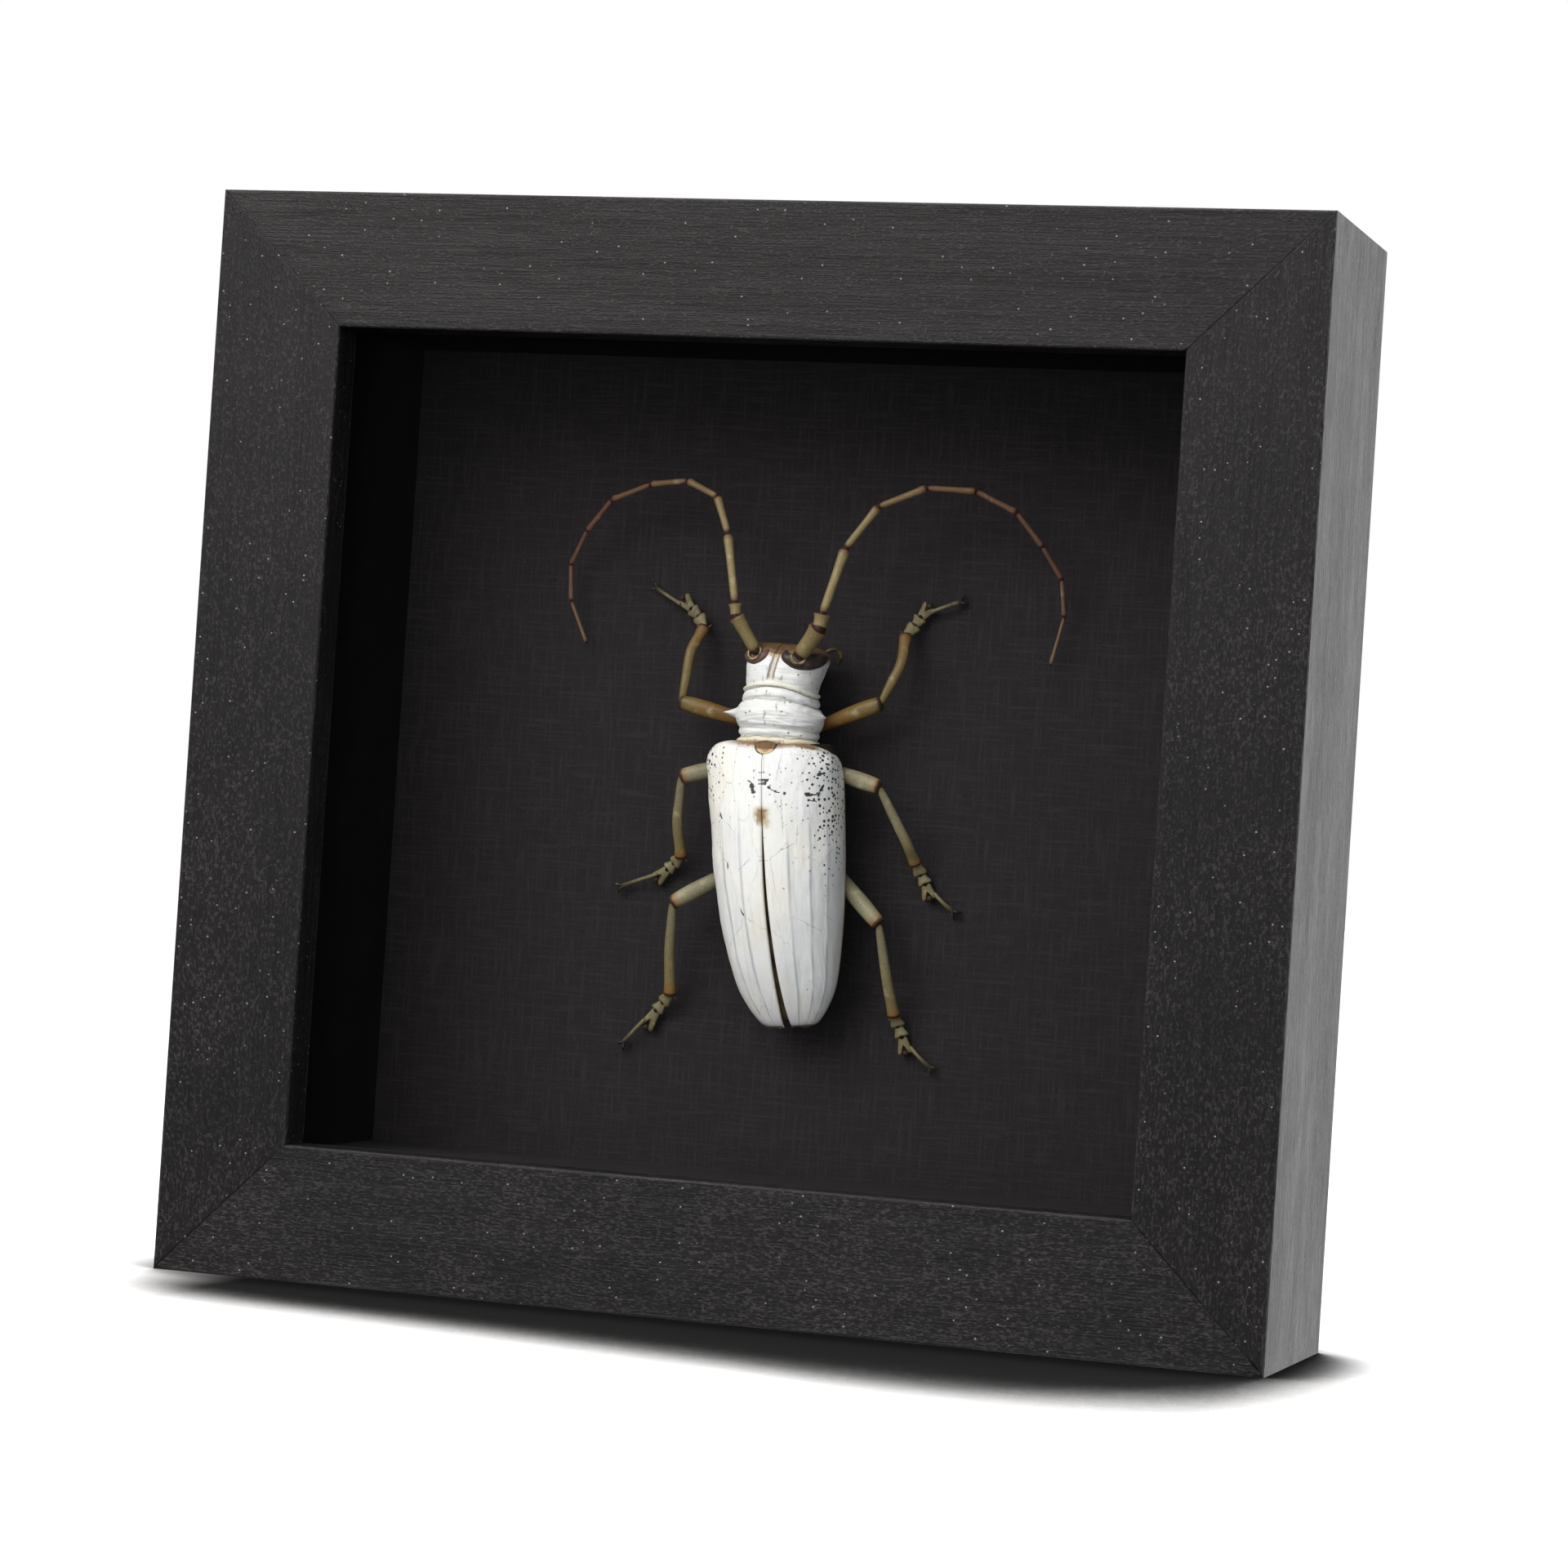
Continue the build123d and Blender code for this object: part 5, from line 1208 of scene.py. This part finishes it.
# Feelers: a thick scape, a short pedicel and long segments, each swollen towards its far end
feelers = {
    "left": [
        (-3.2, 15.9, 12.3), (-5.9, 20.6, 14.0), (-6.15, 22.3, 14.0), (-8.4, 32.2, 12.5), (-10.8, 37.4, 11.0),
        (-15.9, 39.6, 9.5), (-21.9, 39.0, 8.0), (-28.2, 36.7, 6.5), (-32.2, 32.2, 5.0), (-34.9, 27.4, 3.5),
        (-34.9, 22.2, 2.5), (-32.5, 16.3, 1.5),
    ],
    "right": [
        (3.4, 15.6, 12.4), (6.4, 19.4, 14.0), (6.75, 21.4, 14.0), (9.2, 30.8, 13.0), (13.3, 36.8, 12.0),
        (19.7, 39.8, 10.5), (26.4, 39.7, 9.0), (32.0, 37.1, 7.5), (35.6, 32.6, 6.0), (38.3, 28.3, 4.5),
        (38.6, 23.2, 3.0), (36.8, 16.4, 2.0),
    ],
    "leftSizes": (0.95, 1.0, 0.66, 0.58, 0.52, 0.47, 0.44, 0.41, 0.38, 0.35, 0.31, 0.2),
    "rightSizes": (1.15, 1.38, 0.76, 0.6, 0.54, 0.48, 0.45, 0.42, 0.39, 0.36, 0.32, 0.2),
    "profile": [(0, 0.5), (0.05, 0.8), (0.12, 0.9), (0.5, 0.92), (0.85, 1.05), (0.94, 1.14), (1.0, 0.72)],
}
feelerUnit = unitSegment("feelerUnit", feelers["profile"], 20, 0.94, 0)
for sideName in ("left", "right"):
    feeler = limbRun(f"{sideName}Feeler", feelers[sideName], feelers[sideName + "Sizes"], {
        "Segment": feelerUnit, "Length Share": 0.99, "Joint Size": 0.72, "Along": (0.0, 1.0),
        "Segment Finish": feelerFinish, "Joint Finish": jointFinish,
    })
    settle(feeler, "feeler", None, f"beetle_{sideName}_feeler")
print("feelers made")

# Legs: hip, knee, shin bend, ankle, three foot joints, then the claw segment's root and tip
legs = {
    "front_left": [(-3.6, 5.6, 4.6), (-15.7, 8.3, 6.5), (-15.3, 15.6, 5.0), (-14.4, 19.3, 2.6),
                   (-15.6, 20.9, 1.6), (-16.8, 21.9, 1.4), (-18.3, 23.4, 1.2), (-18.6, 22.6, 1.6), (-22.3, 24.6, 1.0)],
    "front_right": [(3.6, 5.6, 4.6), (13.8, 9.6, 6.5), (16.0, 15.5, 5.0), (15.7, 19.5, 2.6),
                    (16.7, 21.1, 1.6), (17.4, 22.3, 1.4), (18.6, 23.9, 1.2), (19.0, 23.1, 1.6), (22.8, 24.7, 1.0)],
    "middle_left": [(-4.6, 0.6, 3.9), (-14.7, -2.2, 7.3), (-15.6, -8.8, 5.2), (-15.6, -13.6, 2.6),
                    (-16.9, -14.7, 1.6), (-17.9, -15.6, 1.4), (-19.6, -17.2, 1.2),
                    (-19.4, -16.4, 1.7), (-24.7, -18.4, 1.0)],
    "middle_right": [(4.6, 0.4, 3.9), (14.6, -2.1, 7.3), (18.4, -9.6, 5.0), (19.2, -12.4, 2.6),
                     (19.9, -14.0, 1.6), (20.6, -15.3, 1.4), (21.3, -17.3, 1.2),
                     (22.1, -16.6, 1.6), (24.6, -18.8, 1.0)],
    "hind_left": [(-4.4, -13.6, 3.5), (-14.8, -20.2, 7.3), (-15.6, -27.2, 5.0), (-15.9, -33.3, 2.6),
                  (-17.2, -34.7, 1.6), (-18.2, -35.9, 1.4), (-19.7, -38.4, 1.2),
                  (-19.9, -37.4, 1.7), (-22.9, -40.7, 1.0)],
    "hind_right": [(5.6, -12.0, 3.5), (15.8, -21.2, 7.3), (16.9, -29.2, 5.0), (17.5, -34.0, 2.6),
                   (18.0, -35.5, 1.6), (18.6, -37.0, 1.4), (19.2, -39.2, 1.2), (20.0, -38.4, 1.6), (22.7, -40.9, 1.0)],
}
legShape = {
    "thigh": (0.75, 1.05, 1.2, 1.12, 1.0), "shin": (0.4, 0.56, 0.68, 0.74, 0.8, 0.94),
    "pads": (1.0, 1.02, 1.0), "lobes": (1.0, 1.15),
    "padProfile": [(0, 0.42), (0.08, 0.6), (0.45, 0.78), (0.8, 1.0), (0.95, 0.96), (1.0, 0.8)],
    "clawSegment": (0.3, 0.26, 0.3, 0.4), "claw": (0.26, 0.2, 0.05), "clawLength": 1.35, "clawSpread": 34,
    "spur": (0.2, 0.05),
}
padUnit = unitSegment("padUnit", legShape["padProfile"], 28, 0.5, 0.12)
lobeUnit = unitSegment("lobeUnit", legShape["padProfile"], 28, 0.42, 0.5)


def thighPiece(name, hip, knee):
    shape = emptyShape()
    bow = Vector((0, -0.3, 0))
    path = [hip, hip.lerp(knee, 0.4) + bow, hip.lerp(knee, 0.7) + bow, hip.lerp(knee, 0.9) + bow * 0.4, knee]
    addTube(shape, path, legShape["thigh"], sides=24, flatness=0.86, capLength=0.28, local=(0.5, 1.0))
    return makePiece(name, shape)


def shinPiece(name, knee, bend, ankle):
    shape = emptyShape()
    path = [knee, knee.lerp(bend, 0.16), knee.lerp(bend, 0.5), bend, bend.lerp(ankle, 0.7), ankle]
    addTube(shape, path, legShape["shin"], sides=24, flatness=0.84, capLength=0.35, local=(0.0, 1.0))
    heading = (ankle - bend).normalized()
    across = heading.cross(Vector((0, 1, 0))).normalized()
    for side in (-1, 1):
        root = ankle + across * side * 0.55
        addTube(shape, [root, root + heading * 0.8 + across * side * 0.3], legShape["spur"], sides=8, start=0.95)
    return makePiece(name, shape)


def clawPiece(name, root, tip):
    shape = emptyShape()
    heading = tip - root
    flat = Vector((heading.x, 0, heading.z)).normalized()
    path = [root, root.lerp(tip, 0.4) + Vector((0, -0.35, 0)), root.lerp(tip, 0.75) + Vector((0, -0.3, 0)), tip]
    addTube(shape, path, legShape["clawSegment"], sides=14, flatness=0.85, start=0.3, end=0.88)
    reach = legShape["clawLength"]
    for side in (-1, 1):
        turn = math.radians(side * legShape["clawSpread"])
        out = Vector((
            flat.x * math.cos(turn) - flat.z * math.sin(turn), 0,
            flat.x * math.sin(turn) + flat.z * math.cos(turn),
        ))
        hook = [tip, tip + out * reach * 0.6 + Vector((0, -0.1, 0)), tip + out * reach + Vector((0, 0.35, 0))]
        addTube(shape, hook, legShape["claw"], sides=10, start=0.95, end=1.0)
    return makePiece(name, shape)


for legName, joints in legs.items():
    hip, knee, bend, ankle, *rest = [onBoard(*joint) for joint in joints]
    first, side = legName.split("_")
    label = first + side.capitalize()
    isFront = first == "front"
    settle(
        thighPiece(f"{label}Femur", hip, knee),
        "leg", frontThighFinish if isFront else thighFinish, f"beetle_{legName}_femur",
    )
    settle(
        shinPiece(f"{label}Tibia", knee, bend, ankle),
        "leg", frontShinFinish if isFront else shinFinish, f"beetle_{legName}_tibia",
    )
    foot = {"Joint Size": 0.42, "Segment Finish": footFinish, "Joint Finish": jointFinish}
    pads = limbRun(f"{label}FootPads", joints[3:6], legShape["pads"], {
        **foot, "Segment": padUnit, "Length Share": 0.98, "Along": (0.0, 0.3),
    })
    lobes = limbRun(f"{label}FootLobes", joints[5:7], legShape["lobes"], {
        **foot, "Segment": lobeUnit, "Length Share": 1.15, "Along": (0.3, 0.6),
    })
    settle(pads, "leg", None, f"beetle_{legName}_tarsus")
    settle(lobes, "leg", None)
    settle(clawPiece(f"{label}Claws", rest[3], rest[4]), "leg", footFinish)
print("legs made")

# Floor, light and camera
floorMesh = bpy.data.meshes.new("floor")
floorReach = 6.0  # metres to each side
floorCorners = [(x * floorReach, y * floorReach, 0) for x, y in ((-1, -1), (1, -1), (1, 1), (-1, 1))]
floorMesh.from_pydata(floorCorners, [], [(0, 1, 2, 3)])
floor = bpy.data.objects.new("floor", floorMesh)
scene.collection.objects.link(floor)
floorFinish, floorTree, floorPlace = newMaterial("whiteSweepPaperWithPaintedShadow")  # uncoated white card: even and quite dull, with a painted shadow at the case's foot
cardGrain = addNode(floorTree, "ShaderNodeTexNoise", {"Vector": floorPlace, "Scale": 330.0, "Detail": 3.0})
across = addNode(floorTree, "ShaderNodeSeparateXYZ", {0: floorPlace}).outputs["X"]
# The painted shadow in millimetres: its depth at either side of the case, and where it fades past the sides
shade = {"left": 34, "right": 84, "fadeIn": (-4, 16), "fadeOut": (20, 0)}
depth = addNode(floorTree, "ShaderNodeMapRange", {
    "Value": across, "From Min": -halfWidth * mm, "From Max": halfWidth * mm,
    "To Min": shade["left"] * mm, "To Max": shade["right"] * mm,
})
fadeIn = addNode(floorTree, "ShaderNodeMapRange", {
    "Value": across,
    "From Min": (shade["fadeIn"][0] - halfWidth) * mm, "From Max": (shade["fadeIn"][1] - halfWidth) * mm,
})
fade = addNode(floorTree, "ShaderNodeMapRange", {
    "Value": across,
    "From Min": (halfWidth + shade["fadeOut"][0]) * mm, "From Max": (halfWidth + shade["fadeOut"][1]) * mm,
    "To Min": 0.0, "To Max": fadeIn,
})
leaning = addNode(floorTree, "ShaderNodeCombineXYZ", {"X": 0.0, "Y": 0.85, "Z": 0.53})  # the painted shadow lies forward
# painted shadow: occlusion by the case darkens the card's own colour
ahead = addNode(floorTree, "ShaderNodeAmbientOcclusion", {
    "Distance": depth, "Normal": leaning,
}, samples=24).outputs["AO"]
paintedShadowAhead = addNode(floorTree, "ShaderNodeMapRange", {
    "Value": ahead, "From Min": 0.94, "From Max": 0.66, "To Min": 0.0, "To Max": fade,
})
paintedContactShadow = addNode(floorTree, "ShaderNodeAmbientOcclusion", {"Distance": 16 * mm}, samples=16).outputs["AO"]
finishMaterial(floorTree, coats(floorTree, linear("#f6f6f6"), [  # painted shadow: darker where the case all but touches the card, and in a band lying forward of it
    (cardGrain, 0.4, 0.7, 1.0, "#fcfcfc"), (paintedContactShadow, 0.9, 0.6, 0.6, "#0a0a0a"), (paintedShadowAhead, 0.0, 1.0, 0.985, "#0a0a0a"),
]), Roughness=0.9, Specular_IOR_Level=0.0)
floorMesh.materials.append(floorFinish)
floor.visible_diffuse = floor.visible_glossy = False  # as with a black flag below the lens: the card throws no light up

# How bright the surround is behind the case, in front of it and to the camera, and then the lamps
studio = {"bright": 1.3, "dim": 0.13, "seen": 1.0, "key": 5.8, "wide": 4.5, "fill": 0.85, "sun": 1.8}
caseHeart = (0, 0, 0.08)  # where the lamps point
world = bpy.data.worlds.new("paleStudio")
world.use_nodes = True
worldTree = world.node_tree
worldTree.nodes.clear()
looking = addNode(worldTree, "ShaderNodeTexCoord").outputs["Generated"]
axes = addNode(worldTree, "ShaderNodeSeparateXYZ", {0: looking}).outputs
above = addNode(worldTree, "ShaderNodeMath", {0: axes["Z"], 1: 0.6, 2: axes["Y"]}, operation="MULTIPLY_ADD")
behind = addNode(worldTree, "ShaderNodeMath", {0: axes["X"], 1: 0.45, 2: above}, operation="MULTIPLY_ADD")
glow = addNode(worldTree, "ShaderNodeMapRange", {  # bright behind, above and to the right of the case, dim in front
    "Value": behind, "From Min": 0.1, "From Max": 0.9, "To Min": studio["dim"], "To Max": studio["bright"],
}, interpolation_type="SMOOTHSTEP")
seen = addNode(worldTree, "ShaderNodeLightPath").outputs["Is Camera Ray"]
strength = addNode(worldTree, "ShaderNodeMix", {"Factor": seen, "A": glow, "B": studio["seen"]}, data_type="FLOAT")
sky = addNode(worldTree, "ShaderNodeBackground", {"Color": linear("#ffffff"), "Strength": strength})
addNode(worldTree, "ShaderNodeOutputWorld", {"Surface": sky})
scene.world = world


def addLamp(name, kind, place, target, energy, code, **settings):
    lamp = bpy.data.lights.new(name, kind)
    lamp.energy = energy
    lamp.color = linear(code)[:3]
    for key, value in settings.items():
        setattr(lamp, key, value)
    holder = bpy.data.objects.new(name, lamp)
    holder.location = place
    holder.rotation_euler = (Vector(target) - Vector(place)).to_track_quat("-Z", "Y").to_euler()
    scene.collection.objects.link(holder)
    return holder


addLamp("keySoftbox", "AREA", (-0.29, -0.6, 0.53), caseHeart, studio["key"], "#fffbf4", shape="DISK", size=0.6)
wideLight = addLamp(
    "wideSoftbox", "AREA", (-0.17, -0.62, 0.3), caseHeart, studio["wide"], "#fdfcff", shape="DISK", size=1.1,
)
wideLight.visible_glossy = False  # polarised, so that the glass and the wood do not mirror it
fillLight = addLamp(
    "fillCard", "AREA", (0.45, -0.38, 0.12), caseHeart, studio["fill"], "#f8faff", shape="DISK", size=0.4,
)
fillLight.visible_glossy = False
addLamp("ceilingGlow", "SUN", (0.05, 0.3, 1.2), (0, 0.0, 0), studio["sun"], "#ffffff", angle=math.radians(40))

viewpoint = {  # fitted to the corners of the case, in metres, degrees and millimetres of lens and sensor
    "place": (0.19245, -0.59752, 0.06441), "turn": (90.844, -3.707, 17.547),
    "lens": 103.3, "sensor": 36, "nearest": 0.01,
}
camera = bpy.data.objects.new("camera", bpy.data.cameras.new("camera"))
camera.data.lens = viewpoint["lens"]
camera.data.sensor_width = viewpoint["sensor"]
camera.data.clip_start = viewpoint["nearest"]
camera.location = viewpoint["place"]
camera.rotation_euler = [math.radians(angle) for angle in viewpoint["turn"]]
scene.collection.objects.link(camera)
scene.camera = camera
scene.view_settings.view_transform = "Standard"
print("studio set")
